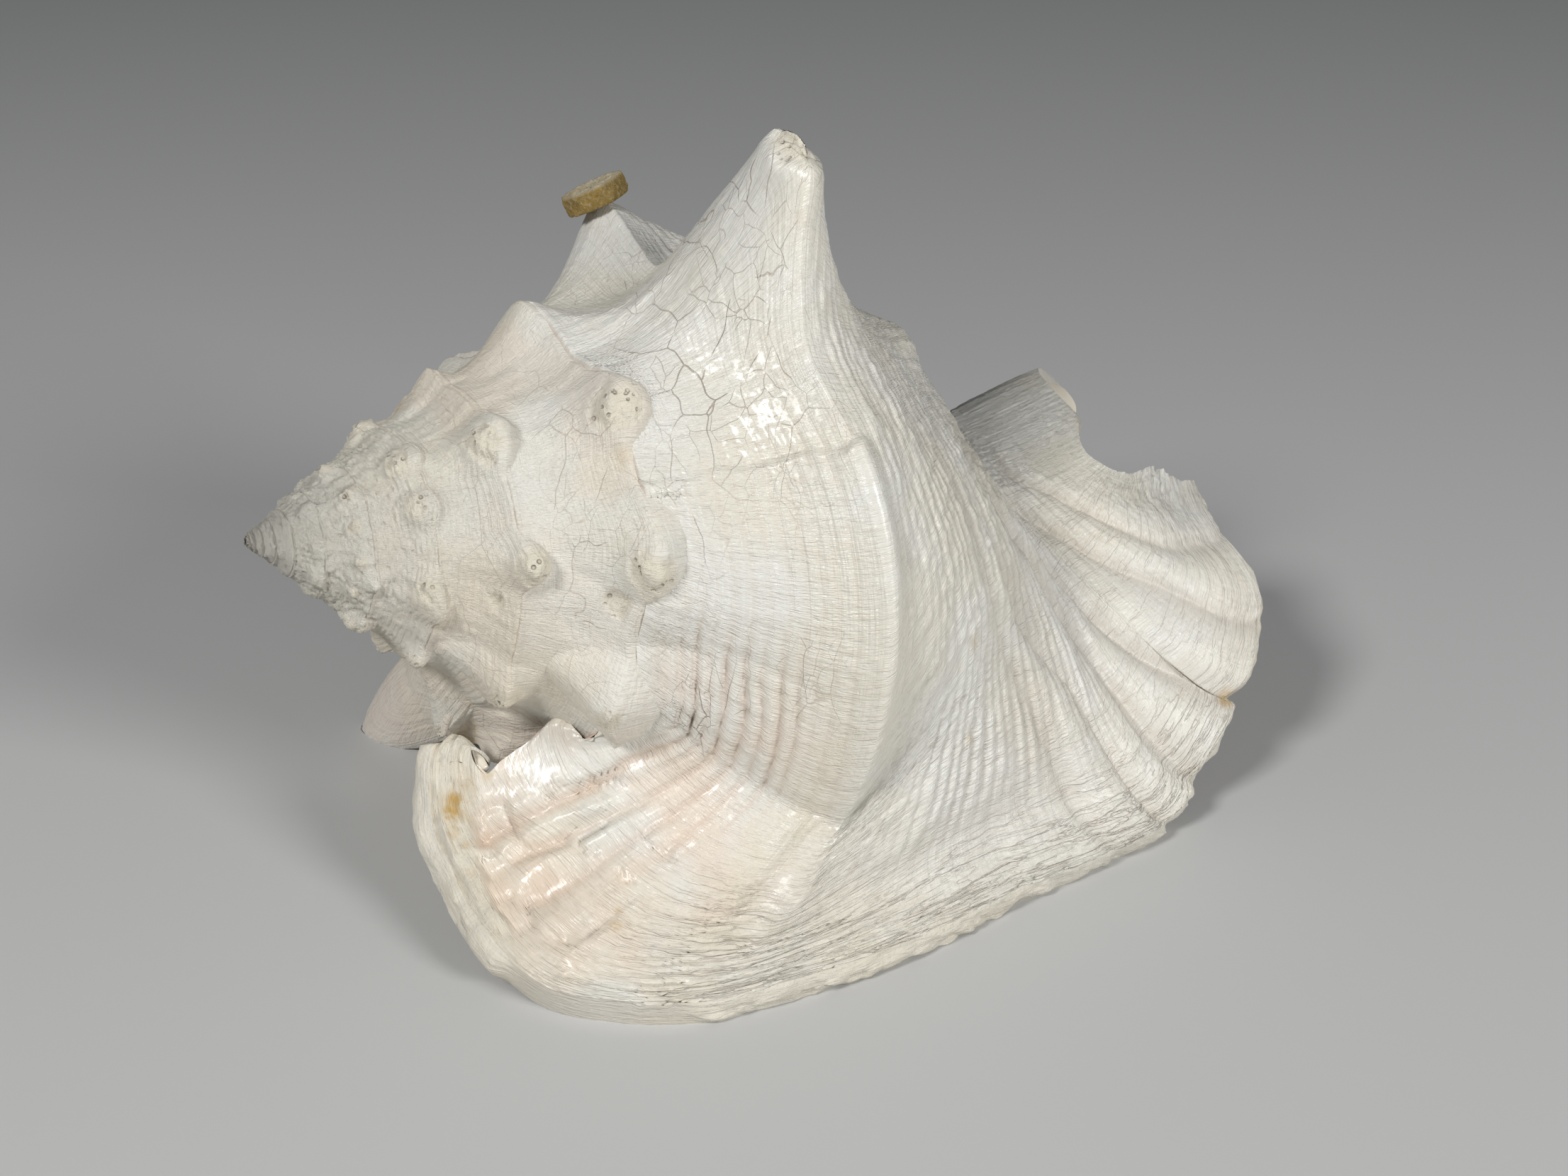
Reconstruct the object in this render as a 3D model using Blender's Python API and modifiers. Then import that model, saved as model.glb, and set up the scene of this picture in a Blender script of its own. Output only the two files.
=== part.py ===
"""Queen conch shell lying on its aperture, spire to -X, outer lip towards -Y, in metres, +Z up.

One grown shell and the felt disc stuck on one of its spines. The outer surface is a spiral: every
section repeats the last one turn later, larger by EXPANSION. A section runs from the suture (s = 0)
over the shoulder keel (s = SHOULDER) to the front end of the canal (s = 1). The turn is an angle that
is 0 on the back of the last whorl and grows towards the lip. The last stretch leaves the spiral and
flares into the free edge of the lip. Lengths below are in millimetres until MM turns them into metres.
"""

import math

import bmesh
import bpy
import numpy as np
from mathutils import Vector

MM = 0.001

# The spiral
SHOULDER_RADIUS = 60.0  # from the axis to the keel, on the back of the last whorl
EXPANSION = 1.513  # growth in one turn
SPIRE_HALF_ANGLE = math.radians(37)  # of the cone that the keel follows
SHOULDER = 0.25  # where the keel is along a section, from 0 at the suture to 1 at the canal
RAMP_SAG = 0.05  # hollow of the ramp between suture and keel, in radii
SUTURE_RADIUS = 0.985  # of the section's start, in shoulder radii of the whorl it lies on
AHEAD_TURN = [-1890, -1360, -1000, -640, -280, 20, 45, 60, 134]  # here the keel is ahead in growth
AHEAD_BY = [60, 125, 101, 38, 6, 4, 10, 32, 34]
FIRST_TURN = -10 * 360
WHOLE_TURN = 360

# The axis of the spiral, in the standing frame
AXIS_TILT = math.radians(11.5)
SHOULDER_POINT = np.array([0.0, 0.0, 60.0])  # on the axis, level with the keel of the last whorl
AXIS = np.array([math.cos(AXIS_TILT), 0, -math.sin(AXIS_TILT)])
BACK = np.array([math.sin(AXIS_TILT), 0, math.cos(AXIS_TILT)])
NEAR = np.array([0.0, -1.0, 0.0])
APEX = SHOULDER_POINT - AXIS * SHOULDER_RADIUS / math.tan(SPIRE_HALF_ANGLE)

# The side of a section, from the keel to the canal: radius and rise, in shoulder radii
SIDE_RADIUS = [1, 0.985, 0.94, 0.86, 0.76, 0.67, 0.57, 0.46, 0.36, 0.32, 0.33, 0.35]
SIDE_RISE = [0, 0.15, 0.36, 0.58, 0.78, 0.95, 1.09, 1.21, 1.32, 1.47, 1.70, 2.0]
END_BLEND = 0.66  # from here along the side the section turns into the canal tube

# The front end of the canal at some turns: its distance from the apex and its radius
END_TURN = [-420, -360, -300, -220, -150, -105, -80, -55, -30, -10, 20, 48, 66, 80, 134]
END_HEIGHT = [164, 172, 182, 188, 192, 194, 197, 192, 182, 175, 174, 177, 184, 196, 206]
END_RADIUS = [6, 7, 7.5, 9, 11, 14, 18, 21.5, 25, 26, 23, 20, 22, 17, 17]
BEND_START = 150.0  # the canal bends back from here
BEND_LENGTH = 60.0
BEND_RISE = 20.0

# Spines and knobs, and the saddles between the large ones: turn, rise from the axis, reach to the
# front, half width in degrees, half width along the section, sharpness
SPINES = [
    (17, 26.5, 2, 23, 26, 2.3),
    (-8, -9, 0, 20, 26, 1.2),
    (-28, 7, 0, 17, 22, 1.6),
    (-54, -8, 0, 22, 26, 1.2),
    (-88, 18, 0, 20, 22, 1.8),
    (-116, -5, 0, 20, 26, 1.2),
    (-145, 28, -16, 20, 24, 1.2),
    (-145, 6, -3, 8, 10, 0.5),
    (-190, 8, -3, 14, 16, 1.4),
    (-246, 3, -6, 11, 15, 0.8),
    (-263, -3, -2, 12, 14, 1.0),
    (-289, 4.5, 0.5, 12, 14, 0.9),
    (-324, 4.5, 1.5, 11, 13, 0.9),
    (-346, -2.5, 0, 12, 14, 1.0),
    (-370, 3.5, -1, 12, 16, 1.2),
    (-397, -4, 0, 15, 15, 1.0),
    (-420, 3, 0, 12, 12, 1.2),
    (-462, 6, -1, 12, 12, 1.3),
    (-504, 7, -2, 12, 12, 1.3),
    (-546, 8, -3, 13, 12, 1.3),
    (-590, 4, 0, 11, 12, 0.8),
    (-642, 4, 1.5, 10, 11, 1.0),
    (-688, 3.5, 1, 12, 11, 0.8),
    (-740, 3, 0, 11, 10, 1.0),
    (-790, 4, -1, 12, 9, 1.2),
    (-840, 4, -1, 12, 8, 1.2),
    (-888, 3.5, -1, 11, 7, 1.2),
    (-936, 1.5, 0, 10, 7, 1.0),
    (-976, 2.5, 0.5, 10, 7, 0.9),
    (-1026, 2, 0.5, 9, 6, 1.0),
    (-1056, 2, 0.5, 9, 6, 1.0),
    (-1110, 1.5, 0, 11, 6, 1.0),
    (-1290, 2, 0, 10, 5, 1.0),
    (-1340, 1.5, 0, 10, 5, 1.0),
    (-1400, 1.5, 0, 10, 5, 1.0),
]
SPINE_BLUNTNESS = 0.03

# The lip: where it leaves the spiral and its free edge in the standing frame
LIP_TURN = 121.0  # at its latest
LIP_START = {0.0: 110, 0.12: 121, 0.2: 121, 0.25: 117, 0.3: 108, 0.36: 97, 0.43: 87, 0.52: 79}
LIP_START.update({0.65: 70, 0.8: 60, 1.0: 48})  # from side position to growth angle
LIP_EDGE = {
    0.0: (-42, -18.5, 24),
    0.025: (-44.5, -16.5, 29.5),
    0.045: (-50.5, -14, 32),
    0.07: (-55, -21.5, 23),
    0.10: (-55.5, -31, 16),
    0.13: (-55, -46, 11),
    0.16: (-51, -59, 8),
    0.20: (-40, -70, 6.5),
    0.245: (-26, -77, 6.5),
    0.29: (-11, -79, 6.5),
    0.34: (5, -80, 6.5),
    0.40: (22, -79, 6.5),
    0.46: (38, -77, 6.2),
    0.52: (55, -75.5, 5.5),
    0.58: (69, -74.5, 5.5),
    0.65: (80, -73, 6.8),
    0.72: (90, -69.5, 14),
    0.79: (100, -66, 23),
    0.85: (107, -62, 30),
    0.90: (114, -55, 38),
    0.95: (118, -39, 46),
    1.0: (124.5, -21, 49),
}
LIP_FOCUS = np.array([15.0, -45.0, 18.0])  # the lip flares away from here
LIP_LEAVING = 16.0  # stiffness of the flare where it leaves the spiral
LIP_ARRIVING = 26.0  # and at its free edge

# The wall and the hollow
WALL = 5.0
LIP_WALL = 7.5  # at the free edge
CANAL_WALL = 3.6
CAVITY_END = -150.0  # the hollow is closed here
CAVITY_OVERLAP = 20.0
AXIS_OVERLAP = 1.5  # solid sections reach this far past the axis

# The mesh
TURN_STEP = 4.0
RAMP_POINTS = 12
SIDE_POINTS = 40
LIP_STEPS = 16
VOXEL = 1.7
KEEP = 0.085  # share of the faces that stay after thinning out
STAND = np.array([23.8, -4.6, 1.0])  # the standing point: the lowest points are worn flat by 1 mm

# The felt disc
FELT_RADIUS = 6.5
FELT_THICKNESS = 4.4
FELT_BEVEL = 0.6
FELT_GAP = 0.35
FELT_REACH = 9.0  # the spine's tip is this near its middle line
FELT_TURN = -28.0  # of the spine that carries it
FELT_FACING = np.array([-0.29, 0.28, 0.91])


def smoothstep(value, start, end):
    t = np.clip((np.asarray(value, float) - start) / (end - start), 0, 1)
    return t * t * (3 - 2 * t)


def through(value, knots, points):
    """A smooth curve through points, or numbers, at the given knots."""
    knots = np.asarray(knots, float)
    points = np.asarray(points, float)
    flat = points.ndim == 1
    if flat:
        points = points[:, None]
    gaps = np.diff(knots)
    slopes = np.diff(points, axis=0) / gaps[:, None]
    tangents = np.empty_like(points)
    tangents[0] = slopes[0]
    tangents[-1] = slopes[-1]
    share = gaps[1:] / (gaps[1:] + gaps[:-1])
    tangents[1:-1] = slopes[:-1] * share[:, None] + slopes[1:] * (1 - share)[:, None]
    value = np.clip(np.asarray(value, float), knots[0], knots[-1])
    i = np.clip(np.searchsorted(knots, value, side="right") - 1, 0, len(gaps) - 1)
    t = ((value - knots[i]) / gaps[i])[..., None]
    reach = gaps[i][..., None]
    result = hermite(t, points[i], tangents[i] * reach, points[i + 1], tangents[i + 1] * reach)
    return result[..., 0] if flat else result


def hermite(t, start, leaving, end, arriving):
    return (
        (2 * t**3 - 3 * t**2 + 1) * start
        + (t**3 - 2 * t**2 + t) * leaving
        + (3 * t**2 - 2 * t**3) * end
        + (t**3 - t**2) * arriving
    )


def shoulder(turn):
    """Radius and height of the keel."""
    grown = turn + through(turn, AHEAD_TURN, AHEAD_BY)
    radius = SHOULDER_RADIUS * EXPANSION ** (grown / WHOLE_TURN)
    return radius, radius / math.tan(SPIRE_HALF_ANGLE)


def canal_end(turn):
    """Height and radius of the section's front end."""
    early = EXPANSION ** (np.minimum(turn - END_TURN[0], 0) / WHOLE_TURN)
    return through(turn, END_TURN, END_HEIGHT) * early, through(turn, END_TURN, END_RADIUS) * early


def side_share():
    """How far along the side each of its points is."""
    steps = np.hypot(np.diff(SIDE_RADIUS), np.diff(SIDE_RISE))
    length = np.concatenate([[0], np.cumsum(steps)])
    return length / length[-1]


def section(turn, s):
    """Distance from the axis and height from the apex of the plain spiral."""
    radius, height = shoulder(turn)
    on_ramp = np.clip(s / SHOULDER, 0, 1)
    sag = RAMP_SAG * radius * np.sin(np.pi * on_ramp)
    before_radius, before_height = shoulder(turn - WHOLE_TURN)
    suture_radius = SUTURE_RADIUS * before_radius + saddle(turn - WHOLE_TURN)
    ramp_radius = suture_radius + (radius - suture_radius) * on_ramp
    ramp_radius = ramp_radius - sag * math.cos(SPIRE_HALF_ANGLE)
    ramp_height = before_height + (height - before_height) * on_ramp
    ramp_height = ramp_height + sag * math.sin(SPIRE_HALF_ANGLE)
    on_side = np.clip((s - SHOULDER) / (1 - SHOULDER), 0, 1)
    end_height, end_radius = canal_end(turn)
    blend = smoothstep(on_side, END_BLEND, 1)
    side_radius = radius * through(on_side, side_share(), SIDE_RADIUS) * (1 - blend)
    side_radius = side_radius + blend * end_radius
    rise = through(on_side, side_share(), SIDE_RISE) / SIDE_RISE[-1]
    side_height = height + (end_height - height) * rise
    ramp = s < SHOULDER
    return np.where(ramp, ramp_radius, side_radius), np.where(ramp, ramp_height, side_height)


def saddle(turn):
    """How much the keel is lowered between spines; the next whorl is laid into it."""
    lowered = np.zeros_like(turn)
    for at, rise, _, half_angle, _, sharpness in SPINES:
        if rise < 0:
            lowered += rise * np.clip(1 - np.abs(turn - at) / half_angle, 0, 1) ** sharpness
    return lowered


def with_spines(turn, radius, height, hollow):
    """Raised spines and lowered saddles; the inside of the hollow follows only the saddles."""
    more_radius = np.zeros_like(radius)
    more_height = np.zeros_like(height)
    for at, rise, reach, half_angle, half_width, sharpness in SPINES:
        if hollow and rise > 0:
            continue
        keel_radius, keel_height = shoulder(turn)
        across = (turn - at) / half_angle
        along = np.hypot(radius - keel_radius, height - keel_height) / half_width
        distance = np.sqrt(across**2 + along**2 + SPINE_BLUNTNESS) - math.sqrt(SPINE_BLUNTNESS)
        share = np.clip(1 - distance, 0, 1) ** sharpness
        more_radius += rise * share
        more_height += reach * share
    return radius + more_radius, height + more_height


def place(turn, radius, height):
    """A point of the section's plane, in the standing frame."""
    angle = np.radians(turn)
    bend = BEND_RISE * np.clip((height - BEND_START) / BEND_LENGTH, 0, None) ** 2
    back = (radius * np.cos(angle) + bend)[..., None] * BACK
    return APEX + height[..., None] * AXIS + back + (radius * np.sin(angle))[..., None] * NEAR


def spiral(turn, s, hollow=False):
    turn, s = np.broadcast_arrays(np.asarray(turn, float), np.asarray(s, float))
    return place(turn, *with_spines(turn, *section(turn, s), hollow))


def lip_start(s):
    return through(s, list(LIP_START), list(LIP_START.values()))


def flare(u, s, hollow=False):
    """The lip, from the spiral (u = 0) to its free edge (u = 1)."""
    u, s = np.broadcast_arrays(np.asarray(u, float), np.asarray(s, float))
    turn = lip_start(s)
    start = spiral(turn, s, hollow)
    leaving = unit(spiral(turn + 0.5, s, True) - spiral(turn - 0.5, s, True)) * LIP_LEAVING
    edge = through(s, list(LIP_EDGE), list(LIP_EDGE.values()))
    arriving = unit(edge - LIP_FOCUS) * LIP_ARRIVING
    return hermite(u[..., None], start, leaving, edge, arriving)


def unit(vectors):
    return vectors / np.maximum(np.linalg.norm(vectors, axis=-1, keepdims=True), 1e-9)


def section_shares():
    ramp = np.linspace(0, SHOULDER, RAMP_POINTS, endpoint=False)
    return np.concatenate([ramp, np.linspace(SHOULDER, 1, SIDE_POINTS)])


def wall_grid(first_turn, hollow):
    """Rows of points from first_turn to the free edge of the lip."""
    s = section_shares()[None]
    steps = round((LIP_TURN - first_turn) / TURN_STEP)
    share = np.linspace(0, 1, steps)[:, None]
    turns = first_turn + (lip_start(s) - first_turn) * share
    lip = flare(np.linspace(0, 1, LIP_STEPS)[1:, None], s, hollow)
    return np.concatenate([spiral(turns, s, hollow), lip])


def outward(grid):
    return unit(np.cross(np.gradient(grid, axis=0), np.gradient(grid, axis=1)))


def wall_sections():
    """Closed sections of the hollow last whorl: outside one way, inside back."""
    outside = wall_grid(CAVITY_END - CAVITY_OVERLAP, False)
    plain = wall_grid(CAVITY_END - CAVITY_OVERLAP, True)
    s = section_shares()
    lip = np.linspace(0, 1, LIP_STEPS)[1:]
    rows = np.concatenate([np.zeros(len(plain) - len(lip)), lip])[:, None]
    thickness = WALL + (LIP_WALL - WALL) * rows
    thickness = thickness + (CANAL_WALL - thickness) * smoothstep(s, 0.6, 0.95)
    inside = plain - outward(plain) * thickness[..., None]
    return np.concatenate([outside, inside[:, ::-1]], axis=1)


def solid_sections():
    """Closed sections of the whorls before the hollow, each filled in to the axis."""
    steps = round((CAVITY_END - FIRST_TURN) / TURN_STEP)
    turns = np.linspace(FIRST_TURN, CAVITY_END, steps)[:, None]
    s = section_shares()[None]
    outside = spiral(turns, s)
    radius, height = section(*np.broadcast_arrays(turns, s))
    top = place(turns, np.full_like(turns, -AXIS_OVERLAP), height[:, -1:])
    bottom = place(turns, np.full_like(turns, -AXIS_OVERLAP), height[:, :1])
    return np.concatenate([outside, top, bottom], axis=1)


def loft(mesh, sections, paired):
    """Faces from each closed section to the next, and a cap on both ends.

    A paired section runs out and back, so its cap is a strip between its two halves.
    """
    rings = [[mesh.verts.new((point - STAND) * MM) for point in ring] for ring in sections]
    for ring, after in zip(rings, rings[1:]):
        for i in range(len(ring)):
            mesh.faces.new((ring[i - 1], ring[i], after[i], after[i - 1]))
    for ring in (rings[0], rings[-1][::-1]):
        if not paired:
            mesh.faces.new(ring)
            continue
        half = len(ring) // 2
        for i in range(half - 1):
            mesh.faces.new((ring[i], ring[i + 1], ring[-2 - i], ring[-1 - i]))
        if len(ring) % 2:
            mesh.faces.new((ring[half - 1], ring[half], ring[half + 1]))


def material(name, colour, roughness):
    made = bpy.data.materials.new(name)
    made.use_nodes = True
    shader = made.node_tree.nodes["Principled BSDF"]
    shader.inputs["Base Color"].default_value = (*colour, 1)
    shader.inputs["Roughness"].default_value = roughness
    shader.inputs["Metallic"].default_value = 0
    return made


def make_object(name, mesh, collection):
    data = bpy.data.meshes.new(name)
    mesh.to_mesh(data)
    mesh.free()
    made = bpy.data.objects.new(name, data)
    collection.objects.link(made)
    return made


def make_floor_cutter(collection):
    mesh = bmesh.new()
    bmesh.ops.create_cube(mesh, size=1)
    cutter = make_object("floor_cutter", mesh, collection)
    cutter.location = (0, 0, -0.5)
    cutter.hide_render = True
    cutter.display_type = "WIRE"
    return cutter


def one_skin(rough):
    """The rough mesh made one skin with few faces, without the specks that remeshing leaves."""
    remesh = rough.modifiers.new("one skin", "REMESH")
    remesh.mode = "VOXEL"
    remesh.voxel_size = VOXEL * MM
    thin = rough.modifiers.new("fewer faces", "DECIMATE")
    thin.ratio = KEEP
    bpy.context.view_layer.update()
    evaluated = rough.evaluated_get(bpy.context.evaluated_depsgraph_get())
    mesh = bmesh.new()
    mesh.from_mesh(bpy.data.meshes.new_from_object(evaluated))
    bodies = separate_bodies(mesh)
    largest = max(bodies, key=len)
    specks = [vertex for body in bodies if body is not largest for vertex in body]
    bmesh.ops.delete(mesh, geom=specks, context="VERTS")
    bpy.data.objects.remove(rough)
    return mesh


def separate_bodies(mesh):
    """The mesh's vertices, one list for each body."""
    waiting = set(mesh.verts)
    bodies = []
    while waiting:
        body = [waiting.pop()]
        for vertex in body:
            for edge in vertex.link_edges:
                other = edge.other_vert(vertex)
                if other in waiting:
                    waiting.remove(other)
                    body.append(other)
        bodies.append(body)
    return bodies


def make_shell(parts, cutter):
    mesh = bmesh.new()
    loft(mesh, solid_sections(), paired=False)
    loft(mesh, wall_sections(), paired=True)
    bmesh.ops.recalc_face_normals(mesh, faces=mesh.faces)
    shell = make_object("conch_shell", one_skin(make_object("rough_shell", mesh, parts)), parts)
    shell.data.shade_smooth()
    worn = shell.modifiers.new("worn flat", "BOOLEAN")
    worn.operation = "DIFFERENCE"
    worn.object = cutter
    shell.data.materials.append(material("conch shell", (0.80, 0.72, 0.64), 0.35))
    return shell


def make_felt_pad(parts, shell):
    facing = unit(FELT_FACING)
    spine = spiral(FELT_TURN, SHOULDER) - STAND
    points = np.array([vertex.co for vertex in shell.data.vertices]) / MM
    near = points[np.linalg.norm(points - spine, axis=1) < FELT_REACH]
    tip = near[np.argmax(near @ facing)]
    centre = tip + facing * (FELT_GAP + FELT_THICKNESS / 2)
    mesh = bmesh.new()
    bmesh.ops.create_cone(
        mesh,
        cap_ends=True,
        segments=40,
        radius1=FELT_RADIUS * MM,
        radius2=FELT_RADIUS * MM,
        depth=FELT_THICKNESS * MM,
    )
    pad = make_object("felt_pad", mesh, parts)
    pad.location = centre * MM
    pad.rotation_mode = "QUATERNION"
    pad.rotation_quaternion = direction(facing)
    bevel = pad.modifiers.new("soft edge", "BEVEL")
    bevel.width = FELT_BEVEL * MM
    bevel.segments = 2
    bevel.limit_method = "ANGLE"
    pad.data.materials.append(material("yellow felt", (0.55, 0.42, 0.17), 0.95))
    return pad


def direction(vector):
    """The turn that takes +Z to this direction."""
    return Vector((0, 0, 1)).rotation_difference(Vector(vector))


def main():
    for old in list(bpy.data.objects):
        bpy.data.objects.remove(old)
    parts = bpy.data.collections.new("queen_conch_shell")
    cutters = bpy.data.collections.new("cutters")
    cutters.hide_render = True
    bpy.context.scene.collection.children.link(parts)
    bpy.context.scene.collection.children.link(cutters)
    cutter = make_floor_cutter(cutters)
    shell = make_shell(parts, cutter)
    make_felt_pad(parts, shell)


main()
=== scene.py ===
# %% [markdown]
# # A queen conch shell
#
# This lesson dresses a solid model of a queen conch shell in its real surface: cords, growth lines,
# worn knobs, a flaking lip, chalk and glaze. The solid comes first, as a fixed frame, and everything
# made here lies on it. A shell is one piece, grown at its edge, so its surface has two natural
# directions: along the growth, round and round the axis, and across it, from the seam with the whorl
# before to the front end. Nearly every mark on a shell follows one of the two.

import math

import bpy
import numpy as np
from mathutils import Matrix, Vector


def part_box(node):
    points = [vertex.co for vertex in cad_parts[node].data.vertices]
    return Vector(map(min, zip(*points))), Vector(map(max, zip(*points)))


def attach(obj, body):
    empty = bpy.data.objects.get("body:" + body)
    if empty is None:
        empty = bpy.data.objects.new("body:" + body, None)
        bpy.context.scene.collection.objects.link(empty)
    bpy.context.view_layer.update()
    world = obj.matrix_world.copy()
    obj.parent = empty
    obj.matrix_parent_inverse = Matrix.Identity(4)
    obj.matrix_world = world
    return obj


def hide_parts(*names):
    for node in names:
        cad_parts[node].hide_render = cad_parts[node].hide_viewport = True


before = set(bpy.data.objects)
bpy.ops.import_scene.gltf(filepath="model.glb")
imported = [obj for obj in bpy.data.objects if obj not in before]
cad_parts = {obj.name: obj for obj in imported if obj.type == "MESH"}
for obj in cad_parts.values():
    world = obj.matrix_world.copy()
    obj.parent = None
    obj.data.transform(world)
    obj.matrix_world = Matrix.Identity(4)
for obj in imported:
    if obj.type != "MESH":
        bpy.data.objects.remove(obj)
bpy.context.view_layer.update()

# %% [markdown]
# ## The way the shell grows
#
# A whorl repeats the one before it, larger by a fixed share, so radius and height grow exponentially
# with the turn. The solid part was lofted from a few functions of the turn and of the place across the
# section. The same functions are used here on a much finer grid, so that the new skin and the solid
# agree without any fitting. Lengths are in millimetres until the meshes are made.

# %% Sizes of the spiral
MM = 0.001
SHOULDER_RADIUS = 60.0
EXPANSION = 1.513
SPIRE_HALF_ANGLE = math.radians(37)
SHOULDER = 0.25  # the keel's place across the section
RAMP_SAG = 0.05  # how hollow the ramp is, as a share of the keel's radius
SUTURE_RADIUS = 0.985  # where the seam lies, as a share of the radius of the keel before
AHEAD_TURN = [-1890, -1360, -1000, -640, -280, 20, 45, 60, 134]
AHEAD_BY = [60, 125, 101, 38, 6, 4, 10, 32, 34]  # degrees that the keel is ahead of the rule
FIRST_TURN = -3600
WHOLE_TURN = 360
AXIS_TILT = math.radians(11.5)
SHOULDER_POINT = np.array([0.0, 0.0, 60.0])
AXIS = np.array([math.cos(AXIS_TILT), 0, -math.sin(AXIS_TILT)])
BACK = np.array([math.sin(AXIS_TILT), 0, math.cos(AXIS_TILT)])
NEAR = np.array([0.0, -1.0, 0.0])
APEX = SHOULDER_POINT - AXIS * SHOULDER_RADIUS / math.tan(SPIRE_HALF_ANGLE)
STAND = np.array([23.8, -4.6, 1.0])  # taken off at the end, so that the shell stands at the origin
# the side's outline from the keel to the front end: radius, and height
SIDE_RADIUS = [1, 0.985, 0.94, 0.86, 0.76, 0.67, 0.57, 0.46, 0.36, 0.32, 0.33, 0.35]
SIDE_RISE = [0, 0.15, 0.36, 0.58, 0.78, 0.95, 1.09, 1.21, 1.32, 1.47, 1.70, 2.0]
END_BLEND = 0.66
# the front end's height and radius in mm, by the turn
END_TURN = [-420, -360, -300, -220, -150, -105, -80, -55, -30, -10, 20, 48, 66, 80, 134]
END_HEIGHT = [164, 172, 182, 188, 192, 194, 197, 192, 182, 175, 174, 177, 184, 196, 206]
END_RADIUS = [6, 7, 7.5, 9, 11, 14, 18, 21.5, 25, 26, 23, 20, 22, 17, 17]
# the front canal bends back from a certain height on
BEND_START = 150.0
BEND_LENGTH = 60.0
BEND_RISE = 20.0
print("growth in one turn:", EXPANSION, "shoulder radius:", SHOULDER_RADIUS, "mm")

# %% [markdown]
# ## Knobs and saddles of the keel
#
# At each pause in its growth the animal drew its edge out at the keel and left a blunt spine there.
# Between two spines the keel dips a little. Each is a cone with a rounded tip that stands on the keel or
# is taken off it. They could come from a rule, but no two are alike, so each has its own line, and the
# solid part has the same ones.

# %% Knobs of the keel
SPINES = [
    # turn, rise and lean to the front in mm, half angle, half width across in mm, sharpness
    (17, 26.5, 2, 23, 26, 2.3),
    (-8, -9, 0, 20, 26, 1.2),
    (-28, 7, 0, 17, 22, 1.6),
    (-54, -8, 0, 22, 26, 1.2),
    (-88, 18, 0, 20, 22, 1.8),
    (-116, -5, 0, 20, 26, 1.2),
    (-145, 28, -16, 20, 24, 1.2),
    (-145, 6, -3, 8, 10, 0.5),
    (-190, 8, -3, 14, 16, 1.4),
    (-246, 3, -6, 11, 15, 0.8),
    (-263, -3, -2, 12, 14, 1.0),
    (-289, 4.5, 0.5, 12, 14, 0.9),
    (-324, 4.5, 1.5, 11, 13, 0.9),
    (-346, -2.5, 0, 12, 14, 1.0),
    (-370, 3.5, -1, 12, 16, 1.2),
    (-397, -4, 0, 15, 15, 1.0),
    (-420, 3, 0, 12, 12, 1.2),
    (-462, 6, -1, 12, 12, 1.3),
    (-504, 7, -2, 12, 12, 1.3),
    (-546, 8, -3, 13, 12, 1.3),
    (-590, 4, 0, 11, 12, 0.8),
    (-642, 4, 1.5, 10, 11, 1.0),
    (-688, 3.5, 1, 12, 11, 0.8),
    (-740, 3, 0, 11, 10, 1.0),
    (-790, 4, -1, 12, 9, 1.2),
    (-840, 4, -1, 12, 8, 1.2),
    (-888, 3.5, -1, 11, 7, 1.2),
    (-936, 1.5, 0, 10, 7, 1.0),
    (-976, 2.5, 0.5, 10, 7, 0.9),
    (-1026, 2, 0.5, 9, 6, 1.0),
    (-1056, 2, 0.5, 9, 6, 1.0),
    (-1110, 1.5, 0, 11, 6, 1.0),
    (-1290, 2, 0, 10, 5, 1.0),
    (-1340, 1.5, 0, 10, 5, 1.0),
    (-1400, 1.5, 0, 10, 5, 1.0),
]
SPINE_BLUNTNESS = 0.03
print("knobs and saddles on the keel:", len(SPINES))


# %% [markdown]
# ## Smooth curves
#
# Much of a grown shape is known only at a few places: where the lip ends, how long the canal is, how far
# the keel runs ahead of the rule. A curve that passes smoothly through a few given values fills the gaps.
# A Bezier object would draw the same curve, but a function works on a whole grid at once.

# %% Smooth curves through given points
def smoothstep(value, start, end):
    t = np.clip((np.asarray(value, float) - start) / (end - start), 0, 1)
    return t * t * (3 - 2 * t)


def hermite(t, start, leaving, end, arriving):
    return (
        (2 * t**3 - 3 * t**2 + 1) * start
        + (t**3 - 2 * t**2 + t) * leaving
        + (3 * t**2 - 2 * t**3) * end
        + (t**3 - t**2) * arriving
    )


def through(value, knots, points):
    """A smooth curve through points, or numbers, at the given knots."""
    knots = np.asarray(knots, float)
    points = np.asarray(points, float)
    flat = points.ndim == 1
    if flat:
        points = points[:, None]
    gaps = np.diff(knots)
    slopes = np.diff(points, axis=0) / gaps[:, None]
    tangents = np.empty_like(points)
    tangents[0] = slopes[0]
    tangents[-1] = slopes[-1]
    share = gaps[1:] / (gaps[1:] + gaps[:-1])
    tangents[1:-1] = slopes[:-1] * share[:, None] + slopes[1:] * (1 - share)[:, None]
    value = np.clip(np.asarray(value, float), knots[0], knots[-1])
    i = np.clip(np.searchsorted(knots, value, side="right") - 1, 0, len(gaps) - 1)
    t = ((value - knots[i]) / gaps[i])[..., None]
    reach = gaps[i][..., None]
    result = hermite(t, points[i], tangents[i] * reach, points[i + 1], tangents[i + 1] * reach)
    return result[..., 0] if flat else result


print("half way from 0 through 1 to 4:", through(0.5, [0, 1, 2], [0, 1, 4]))


# %% [markdown]
# ## The section of a whorl
#
# A whorl cut through the axis shows one outline: from the seam down a sloping ramp to the keel, then
# along the side to the front canal. The place across, s, is 0 at the seam, 0.25 at the keel and 1 at the
# canal's end. Sections could be drawn one by one and joined, but every one of them follows from its turn.

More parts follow.
